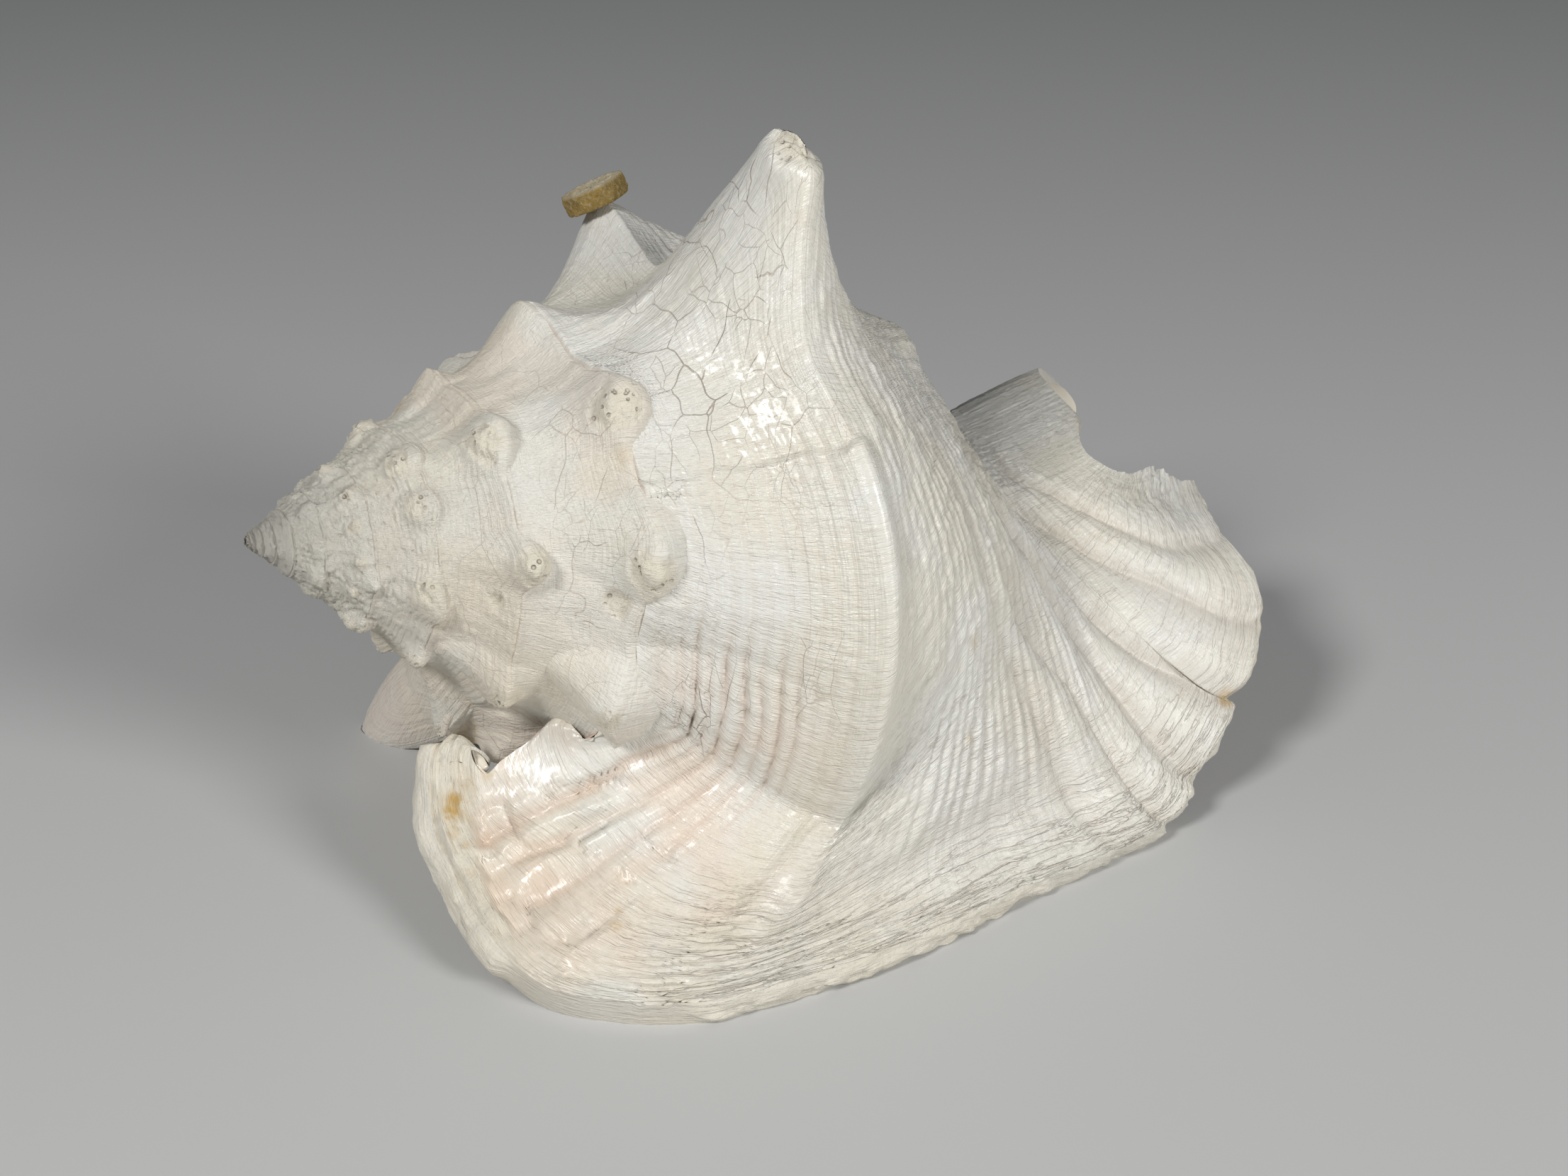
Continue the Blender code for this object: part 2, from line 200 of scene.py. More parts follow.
# %% The section of a whorl
def shoulder(turn):
    """Radius and height of the keel."""
    grown = turn + through(turn, AHEAD_TURN, AHEAD_BY)
    radius = SHOULDER_RADIUS * EXPANSION ** (grown / WHOLE_TURN)
    return radius, radius / math.tan(SPIRE_HALF_ANGLE)


def canal_end(turn):
    """Height and radius of the section's front end."""
    early = EXPANSION ** (np.minimum(turn - END_TURN[0], 0) / WHOLE_TURN)
    return through(turn, END_TURN, END_HEIGHT) * early, through(turn, END_TURN, END_RADIUS) * early


def side_share():
    """How far along the side each of its points is."""
    steps = np.hypot(np.diff(SIDE_RADIUS), np.diff(SIDE_RISE))
    length = np.concatenate([[0], np.cumsum(steps)])
    return length / length[-1]


def saddle(turn):
    """How much the keel is lowered between spines; the next whorl is laid into it."""
    lowered = np.zeros_like(turn)
    for at, rise, _, half_angle, _, sharpness in SPINES:
        if rise < 0:
            lowered += rise * np.clip(1 - np.abs(turn - at) / half_angle, 0, 1) ** sharpness
    return lowered


def section(turn, s):
    """Distance from the axis and height from the apex of the plain spiral."""
    radius, height = shoulder(turn)
    on_ramp = np.clip(s / SHOULDER, 0, 1)
    sag = RAMP_SAG * radius * np.sin(np.pi * on_ramp)
    before_radius, before_height = shoulder(turn - WHOLE_TURN)
    suture_radius = SUTURE_RADIUS * before_radius + saddle(turn - WHOLE_TURN)
    ramp_radius = suture_radius + (radius - suture_radius) * on_ramp
    ramp_radius = ramp_radius - sag * math.cos(SPIRE_HALF_ANGLE)
    ramp_height = before_height + (height - before_height) * on_ramp
    ramp_height = ramp_height + sag * math.sin(SPIRE_HALF_ANGLE)
    on_side = np.clip((s - SHOULDER) / (1 - SHOULDER), 0, 1)
    end_height, end_radius = canal_end(turn)
    blend = smoothstep(on_side, END_BLEND, 1)
    side_radius = radius * through(on_side, side_share(), SIDE_RADIUS) * (1 - blend)
    side_radius = side_radius + blend * end_radius
    rise = through(on_side, side_share(), SIDE_RISE) / SIDE_RISE[-1]
    side_height = height + (end_height - height) * rise
    ramp = s < SHOULDER
    return np.where(ramp, ramp_radius, side_radius), np.where(ramp, ramp_height, side_height)


print("keel at turn 0, radius and height in mm:", *shoulder(0.0))


# %% [markdown]
# ## From the section to a point in space
#
# The spines are added to the plain section, and then the section's plane is turned about the axis. Where
# a whorl grows over the knobs of the one before, its seam climbs round them, which makes the seam of a
# real shell wander. Doing this on the numbers, before there is a mesh, keeps the grid regular.

# %% Spines, and a point's place in space
SEAM_END = 60  # the turn where the lip begins to lift off the whorl before


def with_spines(turn, radius, height, hollow):
    """Raised spines and lowered saddles; the inside of the hollow follows only the saddles."""
    more_radius = np.zeros_like(radius)
    more_height = np.zeros_like(height)
    for at, rise, reach, half_angle, half_width, sharpness in SPINES:
        if hollow and rise > 0:
            continue
        keel_radius, keel_height = shoulder(turn)
        across = (turn - at) / half_angle
        along = np.hypot(radius - keel_radius, height - keel_height) / half_width
        distance = np.sqrt(across**2 + along**2 + SPINE_BLUNTNESS) - math.sqrt(SPINE_BLUNTNESS)
        share = np.clip(1 - distance, 0, 1) ** sharpness
        more_radius += rise * share
        more_height += reach * share
    return radius + more_radius, height + more_height


def place(turn, radius, height):
    """A point of the section's plane, in the standing frame."""
    angle = np.radians(turn)
    bend = BEND_RISE * np.clip((height - BEND_START) / BEND_LENGTH, 0, None) ** 2
    back = (radius * np.cos(angle) + bend)[..., None] * BACK
    return APEX + height[..., None] * AXIS + back + (radius * np.sin(angle))[..., None] * NEAR


def climb(turn, s):
    """Where a whorl meets a knob of the one before, its seam runs round the knob, near the tip."""
    before = turn - WHOLE_TURN
    keel = shoulder(before)
    raised, lowered = with_spines(before, *keel, False), with_spines(before, *keel, True)
    share = 0.85 * (1 - smoothstep(s, 0.0, 0.08)) * (turn < SEAM_END)
    return (raised[0] - lowered[0]) * share, (raised[1] - lowered[1]) * share


def spiral(turn, s, hollow=False):
    """Points of the outside, or of the spiral without its spines, which the hollow follows."""
    turn, s = np.broadcast_arrays(np.asarray(turn, float), np.asarray(s, float))
    radius, height = with_spines(turn, *section(turn, s), hollow)
    if not hollow:
        more_radius, more_height = climb(turn, s)
        radius, height = radius + more_radius, height + more_height
    return place(turn, radius, height)


def unit(vectors):
    return vectors / np.maximum(np.linalg.norm(vectors, axis=-1, keepdims=True), 1e-9)


print("tip of the highest spine, mm:", spiral(17, [SHOULDER])[0].round(1))


# %% [markdown]
# ## The lip
#
# When a queen conch is grown up it stops turning and flares its lip outwards. The flare isn't a spiral
# any more. It is drawn as a bundle of curves, one for each place across the section, that leave the
# spiral smoothly and end on the free edge. A sculpted lip would need a seam to the whorl; on curves that
# start there, the cords run straight out over it.

# %% The flare
LIP_START_S = [0.0, 0.12, 0.2, 0.25, 0.3, 0.36, 0.43, 0.52, 0.65, 0.8, 1.0]
LIP_START_TURN = [110, 121, 121, 117, 108, 97, 87, 79, 70, 60, 48]
LIP_EDGE = {
    # place across: a point of the free edge, in mm
    0.0: (-42, -18.5, 24),
    0.025: (-44.5, -16.5, 29.5),
    0.045: (-50.5, -14, 32),
    0.07: (-55, -21.5, 23),
    0.10: (-55.5, -31, 16),
    0.13: (-55, -46, 11),
    0.16: (-51, -59, 8),
    0.20: (-40, -70, 6.5),
    0.245: (-26, -77, 6.5),
    0.29: (-11, -79, 6.5),
    0.34: (5, -80, 6.5),
    0.40: (22, -79, 6.5),
    0.46: (38, -77, 6.2),
    0.52: (55, -75.5, 5.5),
    0.58: (69, -74.5, 5.5),
    0.65: (80, -73, 6.8),
    0.72: (90, -69.5, 14),
    0.79: (100, -66, 23),
    0.85: (107, -62, 30),
    0.90: (114, -55, 38),
    0.95: (118, -39, 46),
    1.0: (124.5, -21, 49),
}
LIP_FOCUS = np.array([15.0, -45.0, 18.0])
LIP_LEAVING = 16.0
LIP_ARRIVING = 26.0
CHIPS = [
    # place across, half width, how far the edge is broken back in mm
    (0.975, 0.035, 2.6),
    (0.803, 0.010, 2.6),
    (0.70, 0.010, 1.4),
    (0.64, 0.008, 0.8),
    (0.885, 0.012, 0.7),
    (0.47, 0.010, 0.6),
    (0.555, 0.007, 0.7),
]


def lip_start(s):
    """The turn at which the lip leaves the spiral."""
    return through(s, LIP_START_S, LIP_START_TURN)


def lip_edge(s):
    """The free edge, with the pieces that have broken off it."""
    edge = through(s, list(LIP_EDGE), list(LIP_EDGE.values()))
    broken = sum(depth * np.exp(-(((s - at) / width) ** 2)) for at, width, depth in CHIPS)
    return edge - unit(edge - LIP_FOCUS) * broken[..., None]


def flare(u, s, hollow=False):
    """The lip, from the spiral (u = 0) to its free edge (u = 1)."""
    u, s = np.broadcast_arrays(np.asarray(u, float), np.asarray(s, float))
    turn = lip_start(s)
    start = spiral(turn, s, hollow)
    leaving = unit(spiral(turn + 0.5, s, True) - spiral(turn - 0.5, s, True)) * LIP_LEAVING
    edge = lip_edge(s)
    arriving = unit(edge - LIP_FOCUS) * LIP_ARRIVING
    return hermite(u[..., None], start, leaving, edge, arriving)


def length_along(points):
    return np.linalg.norm(np.diff(points, axis=0), axis=-1).sum(0)


EDGE_S = np.linspace(0, 1, 101)
LIP_LENGTHS = length_along(flare(np.linspace(0, 1, 40)[:, None], EDGE_S[None]))
print("free edge of the lip, mm:", round(float(length_along(lip_edge(EDGE_S)))))
print("length of the flare, mm:", LIP_LENGTHS.min().round(), "to", LIP_LENGTHS.max().round())


# %% [markdown]
# ## Unevenness
#
# Nothing on a shell is quite regular. Lattice noise gives soft random numbers that are the same on
# every run: a number is hashed from each corner of a grid, and the numbers are blended between corners.
# Blender's own noise in Python takes one point at a time, which is slow on grids of this size.

# %% Noise
def hashed(cells, seed):
    """A number from -1 to 1 for each whole-number cell."""
    mixed = cells.astype(np.int64) * np.array([374761393, 668265263, 2147483629])
    value = (mixed.sum(-1) + seed * 1274126177) & 0xFFFFFFFF
    value = ((value ^ (value >> 13)) * 1103515245) & 0xFFFFFFFF
    value = ((value ^ (value >> 16)) * 668265263) & 0xFFFFFFFF
    return ((value ^ (value >> 15)) & 0xFFFFFF) / 0x7FFFFF - 1


def noise(*coordinates, seed=0):
    """Smooth noise from -1 to 1 with cells one unit wide, of up to three coordinates."""
    arrays = np.broadcast_arrays(*coordinates, *[0.0] * (3 - len(coordinates)))
    at = np.stack(arrays, -1).astype(float)
    corner = np.floor(at)
    inside = at - corner
    inside = inside * inside * inside * (inside * (inside * 6 - 15) + 10)
    total = np.zeros(at.shape[:-1])
    for dx in (0, 1):
        for dy in (0, 1):
            for dz in (0, 1) if len(coordinates) > 2 else (0,):
                weight = np.where(dx, inside[..., 0], 1 - inside[..., 0])
                weight = weight * np.where(dy, inside[..., 1], 1 - inside[..., 1])
                if len(coordinates) > 2:
                    weight = weight * np.where(dz, inside[..., 2], 1 - inside[..., 2])
                total += weight * hashed(corner + np.array([dx, dy, dz]), seed)
    return total


def rough(*coordinates, octaves=3, seed=0):
    """Noise with finer noise on it."""
    return sum(
        noise(*[c * 2**k for c in coordinates], seed=seed + k) / 2**k for k in range(octaves)
    )


print("noise at three places:", noise(np.array([0.3, 1.7, 2.2]), np.array([0.1, 0.9, 5.0])).round(2))


# %% [markdown]
# ## A sheet of shell
#
# Each stretch of the surface is a grid of points. Rows follow the growth, columns go across it. With
# every point the grid keeps its turn, its place across and how far along the lip it is, because the
# relief and the colours are written in these. A plain mesh would only know where its points are.

# %% Grids
LIP_TURN = 121.0
LIP_TURNS = 45.0  # the lip counts as so many degrees more
SLANT_TURNS = 70  # degrees over which the growth turns parallel to the lip's edge
NOTCH_U = [0, 0.30, 0.38, 0.45, 0.50, 0.62, 0.70, 0.76, 0.80, 0.84, 0.88, 0.92, 1]
NOTCH_S = [0, 0.0, 0.012, 0.032, 0.042, 0.045, 0.053, 0.058, 0.052, 0.040, 0.028, 0.018, 0.012]
NOTCH_REACH = 0.12


def notch(u):
    """Where the lip's rear border runs: it is notched in front of its corner."""
    return through(u, NOTCH_U, NOTCH_S)


def from_notch(s, u):
    """The same places across, squeezed so that the first one lies on the lip's rear border."""
    return np.where(s < NOTCH_REACH, notch(u) + s * (1 - notch(u) / NOTCH_REACH), s)


class Sheet:
    """A grid of surface points with the turn, the place across and the lip share of each."""

    def __init__(self, turn, s, u=None, hollow=False):
        self.turn, self.s = np.broadcast_arrays(np.asarray(turn, float), np.asarray(s, float))
        self.u = np.zeros_like(self.turn) if u is None else np.broadcast_to(u, self.turn.shape)
        self.from_border = self.s
        self.s = from_notch(self.s, self.u)
        late = lip_start(self.s)
        slanted = (LIP_TURN - late) * smoothstep(self.turn, late - SLANT_TURNS, late)
        self.grown = self.turn + slanted + LIP_TURNS * self.u
        self.to_edge = (1 - self.u) * np.interp(self.s, EDGE_S, LIP_LENGTHS)
        on_lip = self.u > 0
        self.points = spiral(self.turn, self.s, hollow)
        if on_lip.any():
            self.points[on_lip] = flare(self.u[on_lip], self.s[on_lip], hollow)
        self.outward = normals_of(self.points)
        self.plain = self.points.copy()

    def move(self, distance):
        """Moves every point outwards by its own distance in mm."""
        self.points = self.points + self.outward * distance[..., None]


def normals_of(points):
    return unit(np.cross(np.gradient(points, axis=0), np.gradient(points, axis=1)))


def last_whorl_rows(s, turns, lip_shares):
    """Turn and lip share of each point. Turns are given as if the lip began at LIP_TURN everywhere."""
    first = turns[0]
    share = ((turns - first) / (LIP_TURN - first))[:, None]
    turn = first + (lip_start(s[None]) - first) * share
    turn = np.concatenate([turn, np.repeat(turn[-1:], len(lip_shares), 0)])
    u = np.concatenate([np.zeros(len(turns)), lip_shares])[:, None]
    return np.broadcast_arrays(turn, s[None], u)


print("the lip counts as", LIP_TURNS, "degrees; its rear border is cut in by up to", max(NOTCH_S))


# %% [markdown]
# ## Relief of the last whorl
#
# Spiral cords run along the growth: fine ones on the ramp, wavy ones on the side, and strong folds
# where the lip fans out. Across them lie the marks of growth: a ledge where the shell once paused, a
# valley behind the lip's thick rim, and thin flaking layers. A texture that only bends the light would
# look painted from the side, so every mark wider than a millimetre is real height here.

# %% Grooves and ridges
FAN_LIP_SHARE = [-1.0, -0.5, -0.2, 0.07, 0.3, 0.55, 0.76, 1.0]
FAN_VALLEYS = [
    # place across of each valley, at the lip shares above
    [0.455, 0.455, 0.46, 0.47, 0.495, 0.53, 0.55, 0.555],
    [0.488, 0.490, 0.498, 0.512, 0.543, 0.61, 0.633, 0.64],
    [0.545, 0.566, 0.583, 0.613, 0.662, 0.70, 0.703, 0.705],
    [0.58, 0.596, 0.628, 0.68, 0.735, 0.765, 0.795, 0.803],
    [0.68, 0.70, 0.745, 0.790, 0.827, 0.863, 0.885, 0.89],
    [0.84, 0.85, 0.862, 0.876, 0.900, 0.923, 0.945, 0.955],
]
FAN_DEPTH = [0.8, 1.5, 2.0, 2.4, 1.9, 1.6]  # mm


def before_lip(sheet):
    """The lip share, going on below zero for the turns before the lip."""
    return np.where(sheet.u > 0, sheet.u, (sheet.turn - lip_start(sheet.s)) / LIP_TURNS)


def bell(value, centre, width):
    """1 at the centre, falling away smoothly on both sides."""
    return np.exp(-(((value - centre) / width) ** 2))


def window(value, start, full, less, end):
    """1 between full and less, falling to 0 at start and end."""
    return smoothstep(value, start, full) * (1 - smoothstep(value, less, end))


def grooves(across, spacing, width, seed=0):
    """Near 1 along the bottom of each of many parallel grooves; no two are equally deep."""
    phase = across / spacing
    phase = phase + 0.3 * noise(phase * 0.45, seed=seed + 61)
    number = np.round(phase)
    depth = 0.78 + 0.3 * hashed(np.stack([number, 0 * number, 0 * number], -1), seed)
    return depth * (1 - np.abs(np.sin(np.pi * phase)) ** width)


print("valleys of the fan:", len(FAN_VALLEYS))


# %% [markdown]
# ## Cords and folds
#
# A cord is a ridge that the mantle's edge left as it went round. On the ramp the cords are fine and turn
# into strong folds near the lip; on the side they are wavy and beaded; in the fan they spread into broad
# ridges. Each set is written as grooves at an even spacing whose place and depth waver with noise. An
# image would repeat or smear on such a surface, while a function of turn and place follows every bend.

# %% Cords and folds along the growth
RAMP_CORD = 0.0178  # from one cord to the next, as a share of the section
SIDE_CORD = 0.0158
FOLD_U = [0.1, 0.35, 0.42, 0.53, 0.62, 0.70, 0.83]
FOLD_S = [0.066, 0.070, 0.078, 0.083, 0.085, 0.087, 0.088]


def ramp_cords(sheet, sway):
    """Fine spiral cords on the ramp, growing into strong folds where the lip leaves it."""
    turn, s, u, p = sheet.turn, sheet.s, sheet.u, before_lip(sheet)
    drifted = s + sway - 0.018 * smoothstep(p, -0.7, 0.4)
    groove = grooves(drifted, RAMP_CORD, 0.7, 1)
    on_ramp = window(s, 0.012, 0.035, 0.222, 0.243)
    reach = 0.98 - 0.6 * smoothstep(s, 0.125, 0.17)
    strong = smoothstep(p, -0.85, -0.3) * (1 - smoothstep(p, reach - 0.3, reach))
    strong = strong * window(s, 0.03, 0.06, 0.15, 0.19)
    strong = strong * (1 - smoothstep(u, 0.2, 0.42) * (1 - smoothstep(s, 0.082, 0.098)))
    middle = window(turn, 38, 56, 200, 201) * (1 - smoothstep(p, 0.02, 0.3))
    early = 0.35 * smoothstep(turn, -80, -20)
    uneven = 0.85 + 0.3 * noise(sheet.grown / 17, s * 30, seed=5)
    cords = on_ramp * uneven * (0.30 * np.maximum(middle, early) + 0.95 * strong) * groove
    fold = bell(s + sway, np.interp(u, FOLD_U, FOLD_S), 0.0055) * smoothstep(u, 0.08, 0.3)
    rise = bell(s + sway, np.interp(u, FOLD_U, FOLD_S) + 0.011, 0.006) * smoothstep(u, 0.3, 0.5)
    return cords + (1.1 * fold - 0.7 * rise) * (1 - smoothstep(u, 0.82, 0.9))


def side_cords(sheet, sway):
    """Wavy cords on the side, beaded by the growth, that run on down to the rim and out into the fan."""
    s, u = sheet.s, sheet.u
    waver = 0.0045 * noise(sheet.grown / 12, s * 10, seed=6)
    waver = waver + 0.0014 * noise(sheet.grown / 3.5, s * 40, seed=8)
    groove = grooves(s + waver + sway, SIDE_CORD, 0.7, 2)
    end = 0.80 - 0.25 * smoothstep(s, 0.62, 0.8)
    last = 0.87 + 0.1 * smoothstep(before_lip(sheet), -0.9, -0.4)
    on_side = window(s, 0.262, 0.30, 0.80, last) * (1 - smoothstep(u, end - 0.35, end))
    depth = 0.68 + 0.38 * noise(sheet.grown / 13, s * 16, seed=7)
    depth = depth * (0.6 + 0.4 * smoothstep(s, 0.30, 0.38))
    broad = 0.5 * noise(sheet.grown / 30, (s + sway) * 24, seed=10) * smoothstep(s, 0.28, 0.34)
    beads = 0.2 * noise(sheet.grown / 2.6, s * 75, seed=9)
    return on_side * (depth * groove + beads + broad)


def fan_ridges(s, p):
    """Rounded ridges between the fan's valleys: 0 in a valley, 1 on a ridge, and the valleys' depth."""
    ridge, depth = np.ones_like(s), np.zeros_like(s)
    centres = [through(p, FAN_LIP_SHARE, knots) for knots in FAN_VALLEYS]
    centres = [centres[0] - 0.05, *centres, centres[-1] + 0.06]
    depths = [0.0, *FAN_DEPTH, 0.0]
    for i in range(len(centres) - 1):
        between = (s - centres[i]) / (centres[i + 1] - centres[i])
        here = (between >= 0) & (between < 1)
        round_top = np.sin(np.pi * np.clip(between, 0, 1)) ** 0.75
        ridge = np.where(here, round_top, ridge)
        depth = np.where(here, depths[i] + (depths[i + 1] - depths[i]) * between, depth)
    return ridge, depth * smoothstep(p, -1.0, 0.0)


def along_growth(sheet):
    """Height of all that runs along the growth, and how deep in a valley each point is."""
    s, p = sheet.s, before_lip(sheet)
    sway = 0.003 * noise(sheet.grown / 16, s * 14, seed=3)
    sway = sway + 0.0012 * noise(sheet.grown / 6, s * 40, seed=4)
    cords = ramp_cords(sheet, sway) + side_cords(sheet, sway)
    ridge, depth = fan_ridges(s + 2 * sway, p)
    deep = depth * (1 - ridge)
    # The second value is the painted shade in the grooves and the fan's valleys.
    return -cords - deep, cords + 0.65 * deep


print("cords on the ramp:", round(SHOULDER / RAMP_CORD), "and on the side:", round(0.5 / SIDE_CORD))


# %% [markdown]
# ## Marks across the growth
#
# These show where the edge was at one time: a ledge across the ramp, the valley behind the thick rim,
# layers that flake off, and folds that are crumpled behind the corner. They are functions of the turn or
# of the distance to the edge, so they run beside the edge as the real ones do. Carving them by hand would
# look as good once, but wouldn't follow if the lip changed.

# %% Marks across the growth
RIM_VALLEY_S = [0.16, 0.22, 0.26, 0.33, 0.42, 0.58, 0.7]
RIM_VALLEY_U = [0.37, 0.46, 0.54, 0.66, 0.71, 0.70, 0.69]
LAYER = 2.0  # mm from one growth layer to the next, near the edge
COMB = 1.25  # mm from one tooth to the next of the fine comb beside the seam


def ledge_height(sheet):
    """A pause in the growth left a low ledge across the ramp; what grew after it stands higher."""
    turn, s = sheet.turn, sheet.s
    ledge_turn = 55 + 14 * (SHOULDER - s) + 1.6 * noise(s * 30, seed=11)
    ledge = window(s, -0.02, 0.02, 0.252, 0.29) * smoothstep(turn, ledge_turn - 0.5, ledge_turn + 0.5)
    return ledge * (1 - smoothstep(turn, 58, 110)) * (0.35 + 5.0 * np.clip(s - 0.02, 0, 0.23))


def flaking(sheet):
    """Growth layers broken back in steps near the edge."""
    s = sheet.s
    bend = 1.3 * noise(s * 20, sheet.to_edge / 14, seed=12)
    bend = bend + 0.5 * noise(s * 60, sheet.to_edge / 6, seed=13)
    phase = sheet.to_edge / LAYER + bend
    step = phase - np.floor(phase)
    chipped = smoothstep(noise(s * 48, np.floor(phase) * 0.71, seed=14), -0.35, 0.3)
    return (0.4 - step**2) * (0.35 + 0.65 * chipped)


def crumples(sheet):
    """Behind the lip's corner the folds are crumpled, with narrow crooked valleys."""
    s, u = sheet.s, sheet.u
    here = window(s, 0.055, 0.075, 0.15, 0.19) * window(u, 0.30, 0.46, 0.84, 0.90)
    wide = noise(u * 6.5, s * 62, seed=91)
    crooked = noise(u * 9 + 3 * s, s * 105, seed=92)
    return here * (1.1 * wide + 0.7 * crooked - 1.1 * np.exp(-((crooked / 0.11) ** 2)))


def across_growth(sheet):
    """Height of the ledge, the valley behind the rim, and the growth layers."""
    turn, s, u = sheet.turn, sheet.s, sheet.u
    valley_u = through(s, RIM_VALLEY_S, RIM_VALLEY_U)
    deep = window(s, 0.228, 0.262, 0.52, 0.66)
    valley_and_shade = deep * bell(u + 0.03 * noise(s * 24, seed=17), valley_u, 0.12) * (u > 0)
    rim = window(s, 0.14, 0.25, 0.66, 0.84) * smoothstep(u, valley_u - 0.06, valley_u + 0.22)
    low_rim = window(s, 0.10, 0.15, 0.22, 0.28) * smoothstep(u, 0.25, 0.6)
    flakes = flaking(sheet) * (0.95 * rim + 0.3 * low_rim)
    combed = window(s, 0.004, 0.016, 0.055, 0.10) * smoothstep(turn, 5, 30) * (u <= 0)
    comb_phase = turn * 1.05 * 2 * np.pi / COMB + 2.0 * noise(turn / 5, s * 12, seed=18)
    comb = combed * 0.13 * np.cos(comb_phase)
    wrinkle = 0.13 * noise(sheet.grown / 2.4, s * 9, seed=15)
    wrinkle = wrinkle + 0.07 * noise(sheet.grown / 1.2, s * 16, seed=16)
    fine_layers = 0.10 * noise(sheet.to_edge / 0.9, s * 12, seed=19) * smoothstep(u, 0.0, 0.3)
    crumpled = crumples(sheet)
    ridge = 1.3 * bell(s, 0.232, 0.014) * smoothstep(u, 0.02, 0.2) * (1 - smoothstep(u, 0.5, 0.85))
    height = ledge_height(sheet) + ridge - 2.6 * valley_and_shade + flakes
    height = height + comb + wrinkle + fine_layers + crumpled
    # The valley behind the rim and the crumpled valleys are also given back, for painted shade.
    return height, valley_and_shade + np.clip(-0.6 * crumpled, 0, 1), rim


print("growth layers near the edge:", LAYER, "mm apart; comb:", COMB, "mm")


# %% [markdown]
# ## Marks that occur once
#
# A few features belong to this shell alone: a low bump on its far side, a raised chalky band along the
# lip's rear corner, two lobes in front of that band, and borders that reach past the plain section at the
# rear notch and the front canal. Each is one smooth rise, given by its middle and its width.

# %% Single marks
TONGUE = 5.5  # mm that the tongue on the rear border reaches out


def grains(sheet, size, seed):
    """Rough noise in space, with grains of the given size in mm."""
    return rough(*(sheet.plain[..., i] / size for i in range(3)), seed=seed)


def border_band(sheet):
    """The raised chalky band along the lip's rear corner."""
    ragged = 0.03 * noise(sheet.s * 45, seed=51) + 0.015 * noise(sheet.s * 140, seed=52)
    ragged = ragged - 1.2 * (sheet.s - 0.055)
    return smoothstep(sheet.u + ragged, 0.80, 0.83) * (1 - smoothstep(sheet.s, 0.125, 0.16))


def single_marks(sheet):
    """Height of the marks that occur only once."""
    turn, s, u = sheet.turn, sheet.s, sheet.u
    far_bump = 2.8 * bell(turn, 20, 9) * bell(s, 0.555, 0.045) * (u <= 0)
    band = border_band(sheet)
    lumps = 1 + 0.6 * noise(s * 60, u * 18, seed=53) + 0.35 * noise(s * 150, u * 50, seed=54)
    lumps = lumps * smoothstep(sheet.from_border, 0.0, 0.02)
    height = far_bump + 1.5 * band * lumps * (1 - 0.6 * smoothstep(u, 0.94, 1))
    lobes = bell(u, 0.70, 0.10) * bell(s, 0.112, 0.008) + bell(u, 0.78, 0.07) * bell(s, 0.140, 0.008)
    grainy = 0.45 * grains(sheet, 2.2, 55) + 0.2 * grains(sheet, 0.9, 56)
    grainy = band * smoothstep(sheet.from_border, 0, 0.02) * grainy
    return height + 1.6 * lobes * (1 - band) + grainy


def stretch_borders(sheet):
    """The front canal's two lobes, and a tongue on the rear border, reach past the plain section."""
    across = unit(np.gradient(sheet.points, axis=1))
    second = (4.2 * bell(sheet.u, 0.70, 0.24) + 3.5 * bell(sheet.u, 0.60, 0.16)) * (sheet.u > 0)
    first = 1.8 * bell(sheet.turn, 24, 13) * (sheet.u <= 0)
    tongue = TONGUE * bell(sheet.u, 0.55, 0.06) * (sheet.u > 0)
    reach = smoothstep(sheet.s, 0.9, 1) * (first + second)
    reach = reach - (1 - smoothstep(sheet.from_border, 0, 0.05)) * tongue
    sheet.points = sheet.points + across * reach[..., None]


print("the tongue on the rear border reaches out by", TONGUE, "mm")


# %% [markdown]
# ## Knobs rubbed down
#
# The tips of the knobs have lost their glaze and are worn to rough chalk. Each is found from the
# spiral, and the surface near it is pressed down to a rough, flattened top. A Boolean cut would leave a
# sharp rim and break up the grid.

# %% Worn knobs
WORN_KNOBS = [
    # turn, place across, radius in mm, how much is rubbed off in mm, how much it stood up
    (17, 0.25, 6.0, 1.6, 0.0),
    (-321, 0.222, 5.0, 1.2, 3.4),
    (-283, 0.238, 4.6, 1.2, 3.0),
    (-273, 0.198, 2.8, 0.9, 0.3),
    (-685, 0.195, 4.2, 1.0, 3.2),
    (-642, 0.240, 3.4, 1.0, 2.8),
    (-626, 0.170, 2.0, 0.8, 0.2),
    (-1054, 0.180, 2.6, 0.7, 2.2),
    (-1027, 0.185, 2.4, 0.7, 2.2),
    (-985, 0.210, 2.6, 0.7, 2.2),
    (-246, 0.25, 4.0, 0.4, 0.0),
    (-590, 0.25, 3.5, 0.4, 0.5),
    (-546, 0.25, 3.5, 0.4, 0.5),
    (-504, 0.25, 3.5, 0.5, 0.3),
    (-888, 0.25, 2.8, 0.4, 0.4),
    (-840, 0.25, 2.8, 0.4, 0.4),
    (-936, 0.24, 2.4, 0.4, 1.8),
    (-1110, 0.22, 2.4, 0.4, 1.8),
    (-1290, 0.20, 2.0, 0.4, 1.7),
    (-1325, 0.17, 1.6, 0.4, 1.5),
    (-1352, 0.20, 1.6, 0.4, 1.7),
    (-1380, 0.18, 1.6, 0.4, 1.5),
    (-1408, 0.20, 1.6, 0.4, 1.7),
    (-1450, 0.20, 1.7, 0.3, 1.7),
]
